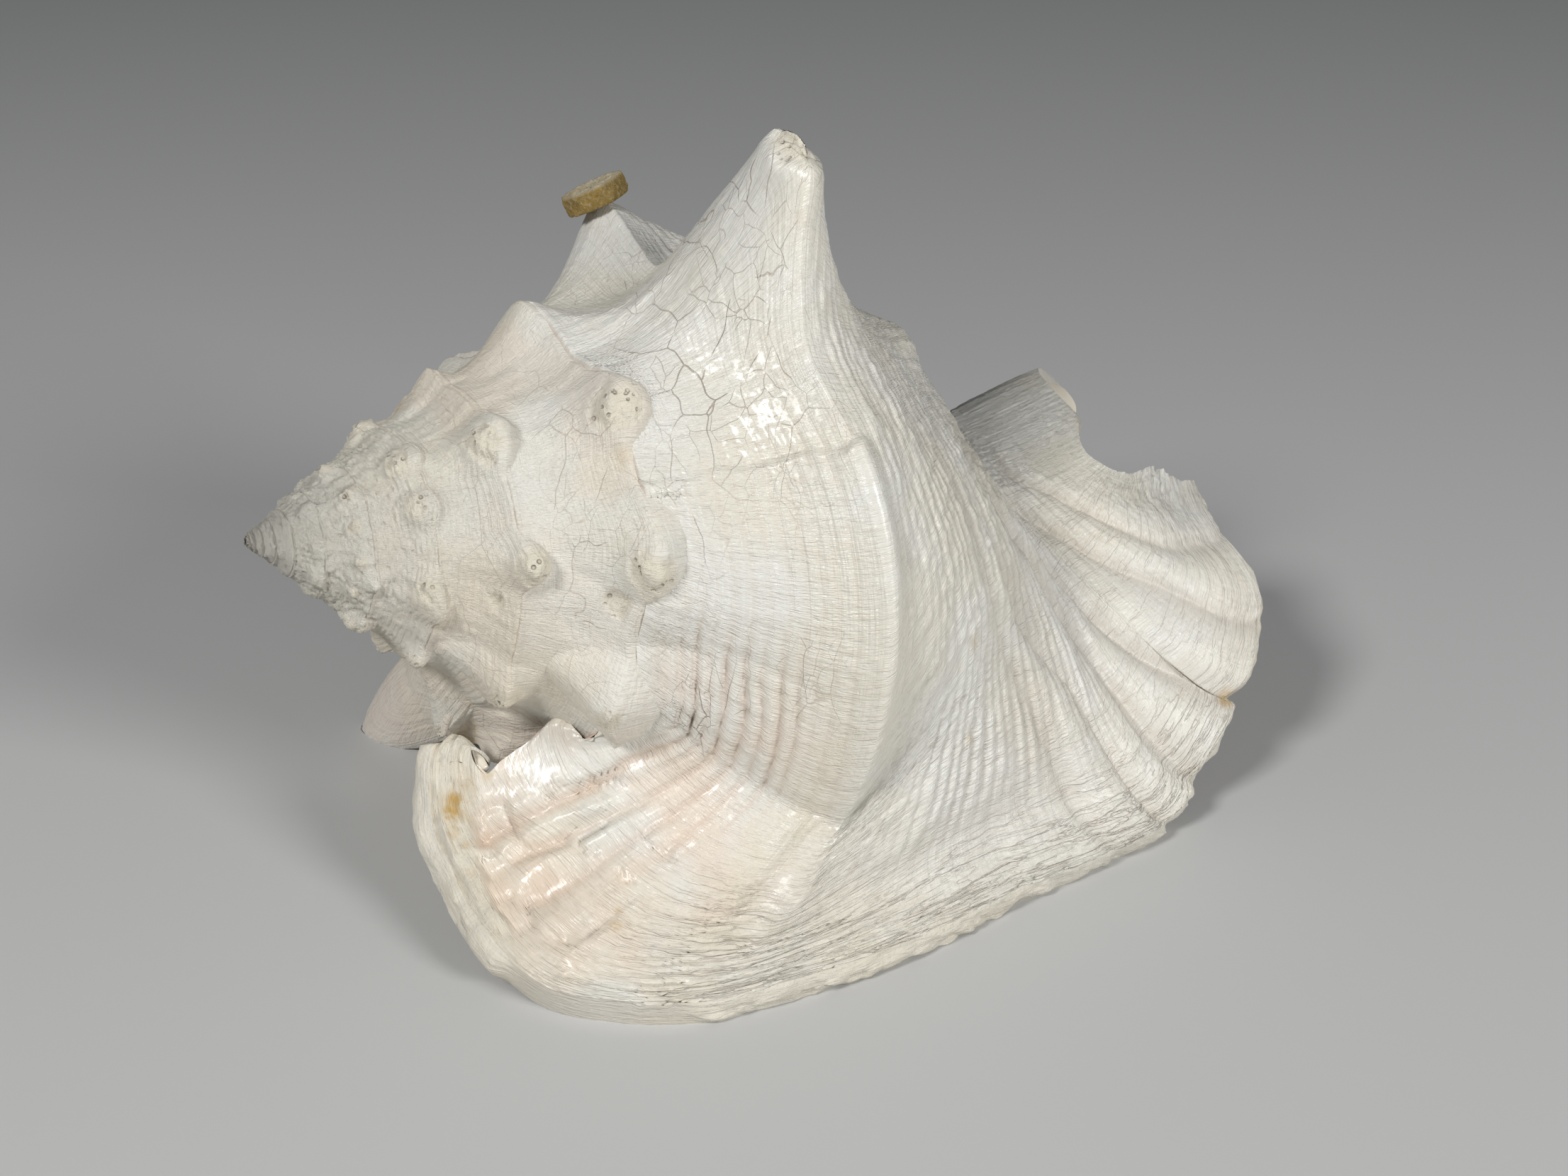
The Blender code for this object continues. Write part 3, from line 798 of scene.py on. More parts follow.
YOUNG_KNOBS = [
    # turn, height as a share of the keel's radius
    *[(-1500, 0.13), (-1548, 0.10), (-1590, 0.15), (-1640, 0.11), (-1682, 0.15)],
    *[(-1722, 0.10), (-1770, 0.14), (-1815, 0.11), (-1850, 0.15), (-1900, 0.12)],
    *[(-1950, 0.14), (-2000, 0.10), (-2060, 0.13), (-2120, 0.10), (-2190, 0.13)],
]


def raise_knobs(sheet):
    """Rounds the knobs out on the side that faces the apex; the youngest whorls get a plain row of them."""
    for turn, s, radius, _, height in WORN_KNOBS:
        tip = spiral(turn, [s])[0]
        away = np.linalg.norm(sheet.plain - tip, axis=-1)
        near = (away < radius * 3) & (np.abs(sheet.turn - turn) < 30) & (height > 0)
        rise = height * bell(away[near], 0, radius * 0.95)
        sheet.points[near] += sheet.outward[near] * rise[:, None]
    keel_radius = shoulder(sheet.turn)[0]
    young = np.zeros_like(sheet.s)
    for turn, share in YOUNG_KNOBS:
        young += share * bell(sheet.turn, turn, 13) * bell(sheet.s, 0.2, 0.07)
    sheet.move(young * keel_radius)


def blunt_spine(sheet):
    """The highest spine is thicker near its tip than a plain cone."""
    turn, s = WORN_KNOBS[0][:2]
    top = spiral(turn, [s])[0]
    axis = unit(top - spiral(turn, [s], True)[0])
    away = sheet.points - top
    down = -(away @ axis)
    out = away + down[..., None] * axis
    near = (np.abs(sheet.turn - turn) < 24) & (sheet.s < 0.42) & (sheet.u <= 0)
    swell = 1.5 * bell(down, 4.5, 5.5) * near * smoothstep(np.linalg.norm(out, axis=-1), 0.0, 1.5)
    sheet.points = sheet.points + unit(out) * swell[..., None]


def rub_knobs(sheet):
    """Presses the knobs' tips down; returns how worn each point is."""
    worn = np.zeros_like(sheet.s)
    for turn, s, radius, loss, _ in WORN_KNOBS:
        tip = spiral(turn, [s])[0]
        away = np.linalg.norm(sheet.plain - tip, axis=-1)
        near = (away < radius * 1.8) & (np.abs(sheet.turn - turn) < 25)
        if not near.any():
            continue
        at = sheet.points[near]
        edge = radius * (1 + 0.22 * noise(at[:, 0] / 2, at[:, 1] / 2, at[:, 2] / 2, seed=21))
        share = 1 - smoothstep(away[near] / edge, 0.55, 1.05)
        pits = rough(at[:, 0] / 1.7, at[:, 1] / 1.7, at[:, 2] / 1.7, seed=22)
        sheet.points[near] -= sheet.outward[near] * (share * (loss + 0.45 * pits))[:, None]
        worn[near] = np.maximum(worn[near], share)
    return worn


print("worn knobs:", len(WORN_KNOBS), "young knobs:", len(YOUNG_KNOBS))


# %% [markdown]
# ## Meshes from grids
#
# A grid becomes a mesh of quads in one call, which is much faster than adding faces one at a time. The
# masks that the finish needs go along as named attributes of the points, since an image would need an
# unwrapped surface and would be coarser.

# %% Skin
MASKS = ("valley_and_shade", "chalk", "pitted", "glaze", "stain_and_shade", "crackle", "rosy", "warm", "flaky")


def joined(grids, inside):
    """The points, faces and normals of several grids as one list each, and the masks by name."""
    points, faces, normals = [], [], []
    fields = {name: [] for name in ("growth", *MASKS)}
    count = 0
    for grid in grids:
        rows, columns = grid["points"].shape[:2]
        index = count + np.arange(rows * columns).reshape(rows, columns)
        quads = np.stack([index[:-1, :-1], index[1:, :-1], index[1:, 1:], index[:-1, 1:]], -1)
        faces.append((quads[..., ::-1] if inside else quads).reshape(-1, 4))
        points.append(((grid["points"] - STAND) * MM).reshape(-1, 3))
        outward = grid.get("normals", normals_of(grid["points"])).reshape(-1, 3)
        normals.append(-outward if inside else outward)
        fields["growth"].append(grid["growth"].reshape(-1, 3))
        for mask in MASKS:
            fields[mask].append(np.broadcast_to(grid.get(mask, 0.0), (rows, columns)).ravel())
        count += rows * columns
    fields = {name: np.concatenate(values).astype(np.float32) for name, values in fields.items()}
    return np.concatenate(points), np.concatenate(faces), np.concatenate(normals), fields


def skin(name, grids, finish, inside=False, node="conch_shell"):
    """One mesh object from several grids of points, with their normals and masks."""
    points, faces, normals, fields = joined(grids, inside)
    points[:, 2] = np.maximum(points[:, 2], 0)
    mesh = bpy.data.meshes.new(name)
    mesh.vertices.add(len(points))
    mesh.vertices.foreach_set("co", points.astype(np.float32).ravel())
    mesh.loops.add(faces.size)
    mesh.loops.foreach_set("vertex_index", faces.astype(np.int32).ravel())
    mesh.polygons.add(len(faces))
    mesh.polygons.foreach_set("loop_start", np.arange(0, faces.size, 4, dtype=np.int32))
    mesh.update(calc_edges=True)
    mesh.attributes.new("growth", "FLOAT_VECTOR", "POINT")
    mesh.attributes["growth"].data.foreach_set("vector", fields["growth"].ravel())
    for mask in MASKS:
        mesh.attributes.new(mask, "FLOAT", "POINT")
        mesh.attributes[mask].data.foreach_set("value", fields[mask])
    mesh.shade_smooth()
    mesh.normals_split_custom_set_from_vertices(normals)
    mesh.materials.append(finish)
    made = bpy.data.objects.new(name, mesh)
    bpy.context.scene.collection.objects.link(made)
    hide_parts(node)
    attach(made, "root")
    print(name, "has", len(faces) * 2, "triangles")


print("masks on each point:", ", ".join(MASKS))


# %% [markdown]
# ## Shader maths
#
# A finish is a sum of simple masks: chalk where a knob is worn, a brown line where a crack runs. Written
# with nodes alone such sums are hard to read. Here one small class stands for a socket, so that the
# masks are added and multiplied as plain expressions, and one method adds any other node.

# %% Sockets that can be added and multiplied
class Socket:
    """An output of a shader node. Arithmetic on it adds Math nodes."""

    def __init__(self, tree, output):
        self.tree = tree
        self.output = output

    def math(self, operation, *others):
        inputs = dict(enumerate((self, *others)))
        return add_node(self.tree, "ShaderNodeMath", {"operation": operation}, inputs)

    def __add__(self, other):
        return self.math("ADD", other)

    def __sub__(self, other):
        return self.math("SUBTRACT", other)

    def __mul__(self, other):
        return self.math("MULTIPLY", other)

    def __rsub__(self, other):
        return add_node(self.tree, "ShaderNodeMath", {"operation": "SUBTRACT"}, {0: other, 1: self})

    __radd__ = __add__
    __rmul__ = __mul__

    def step(self, start, end):
        """0 below start, 1 above end, smooth between; start may be the larger one."""
        inputs = {"Value": self, "From Min": start, "From Max": end}
        return add_node(self.tree, "ShaderNodeMapRange", {"interpolation_type": "SMOOTHSTEP"}, inputs)


def add_node(tree, kind, settings=None, inputs=None, output=0):
    """Adds a node with its settings first, then the values or links of its sockets."""
    node = tree.nodes.new(kind)
    for name, value in (settings or {}).items():
        setattr(node, name, value)
    for key, value in (inputs or {}).items():
        if isinstance(value, Socket):
            tree.links.new(value.output, node.inputs[key])
        else:
            node.inputs[key].default_value = value
    return Socket(tree, node.outputs[output])


# %% [markdown]
# ## One recipe for every finish
#
# Each finish is one Principled shader. What is the same all over is set on the shader's own sockets, and
# what changes over the surface comes from masks, noise and cell patterns through the methods below.
# Writing each node's settings out every time would hide the recipe among them.

# %% Finishes
class Finish:
    """A material with one Principled shader, made with node()."""

    def __init__(self, name, **constants):
        self.material = bpy.data.materials.new(name)
        self.material.use_nodes = True
        self.tree = self.material.node_tree
        self.shader = self.tree.nodes["Principled BSDF"]
        for socket, value in constants.items():
            self.shader.inputs[socket.replace("_", " ")].default_value = value
        self.place = self.node("ShaderNodeTexCoord", output="Object")

    def node(self, kind, settings=None, inputs=None, output=0):
        return add_node(self.tree, kind, settings, inputs, output)

    def mask(self, name):
        """One of the numbers that the grid gave to its points."""
        return self.node("ShaderNodeAttribute", {"attribute_name": name}, output="Fac")

    def noise(self, vector, scale, detail=3.0, roughness=0.5, distortion=0.0):
        inputs = {"Vector": vector, "Scale": scale, "Detail": detail, "Roughness": roughness}
        return self.node("ShaderNodeTexNoise", None, {**inputs, "Distortion": distortion}, "Fac")

    def cracks(self, vector, scale):
        """Distance to the nearest edge between Voronoi cells."""
        inputs = {"Vector": vector, "Scale": scale}
        return self.node("ShaderNodeTexVoronoi", {"feature": "DISTANCE_TO_EDGE"}, inputs, "Distance")

    def cells(self, vector, scale):
        """Distance to the middle of the nearest Voronoi cell."""
        inputs = {"Vector": vector, "Scale": scale}
        return self.node("ShaderNodeTexVoronoi", {"feature": "F1"}, inputs, "Distance")

    def vector_math(self, operation, first, second):
        return self.node("ShaderNodeVectorMath", {"operation": operation}, {0: first, 1: second})

    def stretch(self, vector, x, y, z):
        return self.vector_math("MULTIPLY", vector, (x, y, z))

    def shift(self, vector, amount, scale):
        """The vector moved about by soft noise, so that lines on it wander."""
        inputs = {"Vector": vector, "Scale": scale, "Detail": 2.0}
        wander = self.node("ShaderNodeTexNoise", None, inputs, "Color")
        centred = self.vector_math("SUBTRACT", wander, (0.5, 0.5, 0.5))
        return self.vector_math("ADD", vector, self.stretch(centred, amount, amount, amount))

    def mix(self, factor, first, second):
        inputs = {0: factor, 6: first, 7: second}
        settings = {"data_type": "RGBA", "clamp_factor": True}
        return self.node("ShaderNodeMix", settings, inputs, 2)

    def feed(self, socket, value):
        self.tree.links.new(value.output, self.shader.inputs[socket])

    def bump(self, height, distance):
        """Height in units of the distance, in metres."""
        self.feed("Normal", self.node("ShaderNodeBump", None, {"Height": height, "Distance": distance}))


def paint(red, green, blue):
    return (red, green, blue, 1.0)


# %% [markdown]
# ## The outside of the shell
#
# The outside is lime, creamy white where it is glazed and greyer where it is chalky, with a pink-tan
# tone and painted shade in the valleys between the cords, brown in hairline cracks and pits, and a few
# ochre stains. Its gloss is uneven as well. Growth lines, pits and hair cracks are finer than the mesh,
# so they are left to bump. The paints come first, then the patterns that need more than one node.

# %% Outside finish
CREAM = paint(0.775, 0.745, 0.645)
WHITE = paint(0.80, 0.80, 0.765)
CHALK = paint(0.72, 0.665, 0.54)
PINK_TAN = paint(0.62, 0.46, 0.35)
GREY_FILM = paint(0.56, 0.53, 0.455)
SHADE_GREY = paint(0.56, 0.50, 0.43)
OCHRE = paint(0.52, 0.35, 0.13)
ROSE = paint(0.80, 0.63, 0.48)
CRACK_BROWN = paint(0.30, 0.20, 0.12)
RELIEF = 0.0007  # metres that one unit of bump height stands for


def layer_edges(finish, growth):
    """Thin lines where growth layers end, wide apart and close together."""
    layers = finish.noise(finish.stretch(growth, 0.30, 0.035, 0), 1.0, 4, 0.55, 0.3)
    edges = 1 - (layers - 0.5).math("ABSOLUTE").step(0.004, 0.022)
    layers = finish.noise(finish.stretch(growth, 0.62, 0.075, 0), 1.0, 3, 0.55, 0.3)
    edges = edges + 0.4 * (1 - (layers - 0.5).math("ABSOLUTE").step(0.004, 0.03))
    return edges * finish.mask("flaky")


def crack_lines(finish):
    """Hair cracks, long and short ones, broken off where a noise is low."""
    place = finish.place
    wandering = finish.shift(finish.stretch(place, 1.0, 1.0, 0.6), 0.006, 100)
    long = 1 - finish.cracks(wandering, 105).step(0.002, 0.011)
    long = long * finish.noise(place, 120, 1).step(0.40, 0.5)
    short = 1 - finish.cracks(wandering, 230).step(0.003, 0.018)
    short = short * finish.noise(place, 110, 1).step(0.45, 0.55)
    return (long * 0.8 + short * 0.5) * finish.mask("crackle")


def worn_pits(finish):
    """Small round pits in the worn tips."""
    pits = 1 - finish.cells(finish.place, 620).step(0.12, 0.34)
    return pits * finish.noise(finish.place, 260, 2).step(0.42, 0.6) * finish.mask("pitted")


print("one unit of bump height, mm:", round(RELIEF / MM, 2))

# %% [markdown]
# ## The outside's recipe
#
# The paints are laid one over another: cream and rose, the tone and painted shade of the valleys, chalk,
# a grey film, stains with the painted shade of the callus's cave, thin painted shadow lines at the layer
# edges, and the dirt in cracks and pits. Roughness and the clear coat follow the same masks, so that a
# chalky place is dull as well as pale. One mixed tone for all of it would look like plaster.

# %% Recipe of the outside
def make_outside():
    finish = Finish("shell outside", Roughness=0.4, Coat_Roughness=0.15, Coat_IOR=1.45)
    growth = finish.node("ShaderNodeAttribute", {"attribute_name": "growth"}, output="Vector")
    place, chalk, glaze = finish.place, finish.mask("chalk"), finish.mask("glaze")
    cloudy = finish.noise(place, 120, 4, 0.6)
    lines = finish.noise(finish.stretch(growth, 1.35, 0.16, 0), 1.0, 3, 0.65)
    edges, cracked, pitted = layer_edges(finish, growth), crack_lines(finish), worn_pits(finish)

    colour = finish.mix(finish.noise(place, 38, 3).step(0.38, 0.62) * 0.7, CREAM, WHITE)
    colour = finish.mix(finish.mask("rosy") * 0.6, colour, ROSE)
    colour = finish.mix(lines.step(0.4, 0.75) * 0.2, colour, PINK_TAN)
    # Painted shade: grooves, fan valleys, crumples and the valley behind the rim are darkened towards grey
    # or pink-tan.
    hollow_shade_tone = finish.mix(finish.mask("warm"), SHADE_GREY, PINK_TAN)
    colour = finish.mix(finish.mask("valley_and_shade") * 0.5, colour, hollow_shade_tone)
    colour = finish.mix(chalk * 0.8, colour, CHALK)
    blotches = finish.noise(place, 230, 3).step(0.42, 0.7)
    colour = finish.mix(chalk * blotches * 0.35, colour, GREY_FILM)
    colour = finish.mix(cloudy.step(0.45, 0.75) * 0.22, colour, GREY_FILM)
    # Painted shade: a thin tan line along each growth layer's edge stands for the shadow under its step.
    colour = finish.mix(edges * 0.16, colour, PINK_TAN)
    uneven = 0.5 + finish.noise(place, 420, 3).step(0.35, 0.6) * 0.5
    # Ochre for the real stains, and painted shade in the callus's cave.
    colour = finish.mix(finish.mask("stain_and_shade") * uneven, colour, OCHRE)
    colour = finish.mix(cracked * 0.8, colour, CRACK_BROWN)
    colour = finish.mix(pitted * 0.35, colour, CRACK_BROWN)
    finish.feed("Base Color", colour)

    dull = 0.34 + chalk * 0.45 + lines.step(0.3, 0.8) * 0.16 + cloudy.step(0.4, 0.7) * 0.10
    finish.feed("Roughness", dull - glaze * 0.12)
    finish.feed("Coat Weight", glaze * 0.45 * cloudy.step(0.7, 0.35) * (1 - chalk))

    hairs = finish.noise(finish.stretch(growth, 3.4, 0.5, 0), 1.0, 2, 0.5)
    striae = finish.noise(finish.stretch(growth, 0.06, 1.1, 0), 1.0, 2, 0.5)
    fine = finish.noise(place, 900, 3, 0.65)
    height = lines * (0.55 - chalk * 0.3) + hairs * 0.25 + striae * 0.3
    height = height + fine * (0.08 + chalk * 0.5)
    finish.bump(height - cracked * 0.35 - pitted * 0.9 - edges * 0.4, RELIEF)
    return finish.material


outside_finish = make_outside()
print("outside finish has", len(outside_finish.node_tree.nodes), "nodes")


# %% [markdown]
# ## The last whorl
#
# The last turn of the shell and its lip are one grid, fine enough for every cord. Its rows are twice as
# close on the front half as on the back, because most of the marks across the growth are there.

# %% Rows and columns
LAST_FIRST_TURN = -226.0
BACK_ROWS = 130
FRONT_TURN = -60.0
FRONT_ROWS = 300
LIP_ROWS = 96
RAMP_COLUMNS = 70
SIDE_COLUMNS = 216
MM_PER_DEGREE = 1.15
SECTION_MM = 190.0


def growth_of(sheet):
    """Millimetres along and across the growth, for the finish."""
    return np.stack([sheet.grown * MM_PER_DEGREE, sheet.s * SECTION_MM, sheet.to_edge], -1)


def section_columns(ramp, side):
    """Places across, with so many columns on the ramp and so many on the side."""
    first = np.linspace(0, SHOULDER, ramp, endpoint=False)
    return np.concatenate([first, np.linspace(SHOULDER, 1.0, side)])


print("outside columns:", RAMP_COLUMNS + SIDE_COLUMNS)


# %% [markdown]
# ## Old whorls and seams
#
# The oldest whorls have been worn round and coarse, and their seams are filled flush with the keel above.
# The same code serves the last whorl, where these marks fade out, so the spire and the last whorl meet
# without a step.

# %% Old whorls and seams
def early(sheet):
    """1 on the spire, fading to 0 on the last whorl."""
    return 1 - smoothstep(sheet.turn, -420, -120)


def old(sheet):
    """1 on the oldest whorls."""
    return 1 - smoothstep(sheet.turn, -1150, -800)


SPIRE_CORD = 0.0225  # from one cord of the spire to the next, as a share of the section


def spire_shape(sheet):
    """The oldest whorls are rounded and coarse; each seam is filled flush with the keel above it."""
    turn, s = sheet.turn, sheet.s
    radius = shoulder(turn)[0]
    rounding = 0.045 * radius * np.sin(np.pi * np.clip(s / SHOULDER, 0, 1)) * old(sheet)
    seam = 0.006 * radius * (1 - smoothstep(s, 0, 0.05)) + 0.3 * bell(s, 0.012, 0.006)
    seam = seam * (sheet.u <= 0)
    seam = seam - 0.035 * radius * (1 - smoothstep(s, 0, 0.009)) * (turn < SEAM_END)
    tucked = 0.022 * radius * smoothstep(s, 0.255, 0.29) * (1 - smoothstep(turn, -420, -330))
    size = np.minimum(radius / 12, 1)
    cords = window(turn, -1300, -1150, -560, -440) * window(s, 0.01, 0.04, 0.22, 0.25)
    wavering = s + 0.004 * noise(turn / 9, s * 20, seed=36)
    striae = 0.09 * cords * np.cos(2 * np.pi * wavering / SPIRE_CORD)
    striae = striae * (0.7 + 0.5 * noise(turn / 4, s * 30, seed=37))
    coarse = (0.07 + 0.2 * old(sheet) * size) * grains(sheet, 0.9, 32)
    lumps = noise(*(sheet.plain[..., i] / 2.4 for i in range(3)), seed=38)
    return rounding + seam - tucked + striae + coarse + 0.22 * old(sheet) * size * lumps


def dark_seam_and_tan(sheet):
    """The seam is a dark line, and the spine that points down at the back is tan."""
    turn, s = sheet.turn, sheet.s
    seam_line = 0.9 * (1 - smoothstep(s, 0.004, 0.012)) * (turn < SEAM_END)
    spine = 0.9 * bell(turn, -150, 26) * window(s, 0.0, 0.08, 0.3, 0.45)
    return seam_line + spine * (0.8 + 0.3 * grains(sheet, 9, 39))


print("cords on a whorl of the spire:", round(SHOULDER / SPIRE_CORD))


# %% [markdown]
# ## The curve below the keel
#
# The side passes into the lip in one full curve, but the spiral and the flare meet there with a slight
# hollow. Averaging each point with its four neighbours many times fills it. Moving single points of the
# flare would do it too, but would have to be done again after every change.

# %% Curve below the keel
EASING = 400  # rounds of averaging


def ease_corner(sheet):
    """Fills out the hollow where the side passes into the lip below the keel."""
    p = before_lip(sheet)
    share = window(sheet.s, 0.258, 0.285, 0.45, 0.6) * window(p, -1.3, -0.7, 0.3, 0.7)
    if not share.any():
        return
    eased = sheet.points.copy()
    weight = share[1:-1, 1:-1, None]
    for _ in range(EASING):
        around = eased[2:, 1:-1] + eased[:-2, 1:-1] + eased[1:-1, 2:] + eased[1:-1, :-2]
        eased[1:-1, 1:-1] += weight * (around / 4 - eased[1:-1, 1:-1])
    sheet.points = eased
    sheet.plain = eased.copy()
    sheet.outward = normals_of(eased)


print("rounds of averaging:", EASING)


# %% [markdown]
# ## Cracks and stains
#
# Hair cracks gather on the ramp, at the notch and between the spines. A few ochre stains sit at the lip's
# corner, on a chip and on the side. The finish draws the cracks; the tables only say how thickly they lie
# in each region and where a stain's middle is, so that neither has to be painted on.

# %% Cracks and stains
CRACKED = [
    # turn, place across, half widths in turns and across, strength
    (35, 0.14, 26, 0.11, 1.0),
    (5, 0.2, 25, 0.12, 0.8),
    (-88, 0.22, 30, 0.12, 0.8),
    (-300, 0.15, 70, 0.12, 0.5),
    (62, 0.05, 22, 0.05, 0.6),
    (112, 0.075, 14, 0.045, 1.0),
    (95, 0.16, 12, 0.06, 0.5),
    (-640, 0.15, 160, 0.12, 0.35),
    (-20, 0.6, 200, 0.5, 0.18),
]
STAINS = [
    # turn, place across, lip share, radius in mm, strength
    (117.2, 0.066, 0.87, 1.7, 0.8),
    (117.2, 0.072, 0.89, 2.1, 1.0),
    (117.6, 0.081, 0.90, 1.5, 0.55),
    (117.6, 0.090, 0.88, 1.2, 0.35),
    (116.0, 0.058, 0.75, 1.6, 0.5),
    (60, 0.803, 0.985, 2.2, 1.0),
    (88.8, 0.407, 0.0, 2.6, 0.35),
    (92.6, 0.377, 0.0, 1.8, 0.35),
    (87.8, 0.423, 0.41, 1.3, 0.55),
    (121.9, 0.163, 0.68, 1.1, 0.7),
    (121.9, 0.158, 0.64, 0.8, 0.6),
    (-760, 0.20, 0.0, 1.6, 0.5),
    (-560, 0.24, 0.0, 1.5, 0.4),
    (-310, 0.24, 0.0, 2.2, 0.35),
]


def cracked_places(sheet):
    """How thickly each point is covered with hair cracks."""
    places = np.zeros_like(sheet.s)
    for turn, s, turns, width, strength in CRACKED:
        at = sheet.grown if turn > 100 else sheet.turn
        places = np.maximum(places, strength * bell(at, turn, turns) * bell(sheet.s, s, width))
    return np.clip(places, 0, 1)


def stains(sheet):
    """How strongly each point is stained."""
    total = np.zeros_like(sheet.s)
    for turn, s, u, radius, strength in STAINS:
        at = flare(u, [s])[0] if u else spiral(turn, [s])[0]
        away = np.linalg.norm(sheet.plain - at, axis=-1) / radius
        total = np.maximum(total, strength * (1 - smoothstep(away, 0.3, 1.3)))
    return total


print("cracked regions:", len(CRACKED), "stains:", len(STAINS))


# %% [markdown]
# ## Relief and masks together
#
# A sheet starts as the plain spiral. It gets its relief in the order in which it came about: the form
# first, then cords and growth marks, then the borders and knobs, and wear last. The masks are worked out
# from the same values, so that painted shade and a pink-tan tone lie in the valleys and chalk on the worn
# tips.

# %% Relief and masks
def outside_grid(sheet):
    """The sheet with its relief and its masks."""
    ease_corner(sheet)
    blunt_spine(sheet)
    cords, valley_and_shade = along_growth(sheet)
    marks, rim_valley_shade, rim = across_growth(sheet)
    sheet.move(cords + marks + single_marks(sheet) + spire_shape(sheet))
    stretch_borders(sheet)
    raise_knobs(sheet)
    worn = rub_knobs(sheet)
    band = border_band(sheet) * (sheet.u > 0)
    keel_chalk = bell(sheet.s, 0.225, 0.03) * smoothstep(sheet.turn, 88, 108)
    keel_chalk = keel_chalk * smoothstep(grains(sheet, 3.5, 33), -0.1, 0.4)
    chalk = worn + 0.35 * early(sheet) + 0.2 * old(sheet)
    chalk = chalk + 0.2 * early(sheet) * grains(sheet, 20, 31)
    chalk = chalk + 0.4 * rim + 0.85 * band + 0.5 * keel_chalk
    # Painted shade: the depth of grooves, fan valleys, crumples and the valley behind the rim darkens the
    # surface; the seam's dark line, the tan spine and the band's blotches are added to it.
    valley_and_shade = np.clip(valley_and_shade / 0.9, 0, 1) + 0.35 * rim_valley_shade + dark_seam_and_tan(sheet)
    valley_and_shade = valley_and_shade + 0.8 * band * smoothstep(grains(sheet, 4, 57), -0.1, 0.5)
    glaze = window(sheet.s, 0.0, 0.03, 0.24, 0.30) * smoothstep(sheet.turn, -40, 60)
    glaze = np.maximum(glaze, 0.4 * smoothstep(sheet.turn, -60, 40))
    rosy = window(sheet.s, 0.0, 0.03, 0.2, 0.26) * smoothstep(before_lip(sheet), -0.6, 0.1)
    rosy = rosy * (1 - band) * np.clip(0.55 + 0.8 * grains(sheet, 14, 34), 0, 1)
    rosy = rosy + 0.6 * early(sheet) * smoothstep(grains(sheet, 16, 35), -0.4, 0.4) * (1 - old(sheet))
    flaky = rim + 0.2 * smoothstep(sheet.u, 0.0, 0.3) + 0.12 * (sheet.s > 0.26)
    stain_and_shade = stains(sheet) + 0.30 * band * smoothstep(grains(sheet, 6, 58), -0.2, 0.5)
    return {
        "points": sheet.points,
        "normals": normals_of(sheet.points),
        "growth": growth_of(sheet),
        "valley_and_shade": valley_and_shade,
        "chalk": np.clip(chalk, 0, 1),
        "pitted": np.clip(worn + 0.4 * old(sheet), 0, 1),
        "glaze": np.clip(glaze * (1 - band), 0, 1),
        "crackle": cracked_places(sheet),
        "rosy": np.clip(rosy, 0, 1),
        "warm": window(sheet.s, -0.1, -0.05, 0.2, 0.28),
        "flaky": np.clip(flaky, 0, 1),
        "stain_and_shade": np.clip(stain_and_shade, 0, 1),
    }


# %% [markdown]
# ## One grid for the last whorl
#
# Because the whorl and its lip are one grid, the relief runs on over the place where they meet. The grid
# is cut into three meshes later, at rows that both neighbours have, so that no mesh gets too large.

# %% Last whorl
columns = section_columns(RAMP_COLUMNS, SIDE_COLUMNS)
row_turns = np.concatenate([
    np.linspace(LAST_FIRST_TURN, FRONT_TURN, BACK_ROWS, endpoint=False),
    np.linspace(FRONT_TURN, LIP_TURN, FRONT_ROWS),
])
lip_shares = np.linspace(0, 1, LIP_ROWS + 1)[1:] ** 0.9
whorl = Sheet(*last_whorl_rows(columns, row_turns, lip_shares))
whorl_grid = outside_grid(whorl)
print("last whorl grid:", whorl.points.shape[:2])


def rows_of(grid, start, end):
    """Some of a grid's rows, with all its masks."""
    return {name: values[start:end] for name, values in grid.items()}


# %% [markdown]
# ## The wall's inner side
#
# The wall is five millimetres thick, thickens towards the lip and thins to a sharp border at the rear
# notch. The inside is the plain spiral moved inwards by the wall's thickness, without the cords, because
# the animal fills them from within. A Solidify modifier would carry every cord through to the inside.

# %% Inside
WALL = 5.0
LIP_WALL = 7.5
CANAL_WALL = 3.6
INSIDE_TURNS = np.linspace(LAST_FIRST_TURN, LIP_TURN, 110)
INSIDE_LIP = np.linspace(0, 1, 25)[1:]


def wall_thickness(sheet):
    """Thickness of the wall at each point, in mm."""
    thickness = WALL + (LIP_WALL - WALL) * sheet.u
    thickness = thickness + (CANAL_WALL - thickness) * smoothstep(sheet.s, 0.6, 0.95)
    border = smoothstep(sheet.u, 0.15, 0.45) * (1 - 0.3 * smoothstep(sheet.u, 0.8, 1))
    return thickness * (1 - 0.93 * border * (1 - smoothstep(sheet.from_border, 0, 0.06)))


def inside_sheet(s, turns, shares):
    """The wall's inner side, as wide as the outside and moved inwards."""
    sheet = Sheet(*last_whorl_rows(s, turns, shares), hollow=True)
    stretch_borders(sheet)
    sheet.outward = normals_of(sheet.points)
    sheet.move(-wall_thickness(sheet))
    return sheet


inside = inside_sheet(section_columns(24, 80), INSIDE_TURNS, INSIDE_LIP)
inside_edge = inside_sheet(columns, INSIDE_TURNS, INSIDE_LIP).points[-1]
print("inside grid:", inside.points.shape[:2])

# %% [markdown]
# ## The edge of the lip
#
# At the free edge the growth layers end one behind another, so the edge bulges a little and flakes in
# thin steps. Its first row is the last one of the outside, and its last row follows the inside's edge.
# Two narrow strips close the wall at its front and rear borders. A bevel would give too even an edge.

# %% Edge of the lip
EDGE_ROWS = 17
EDGE_LAYER = 1.25  # mm
EDGE_GROWTH = 140  # mm along the growth where the edge's own lines begin
STRIP_COLUMNS = 6


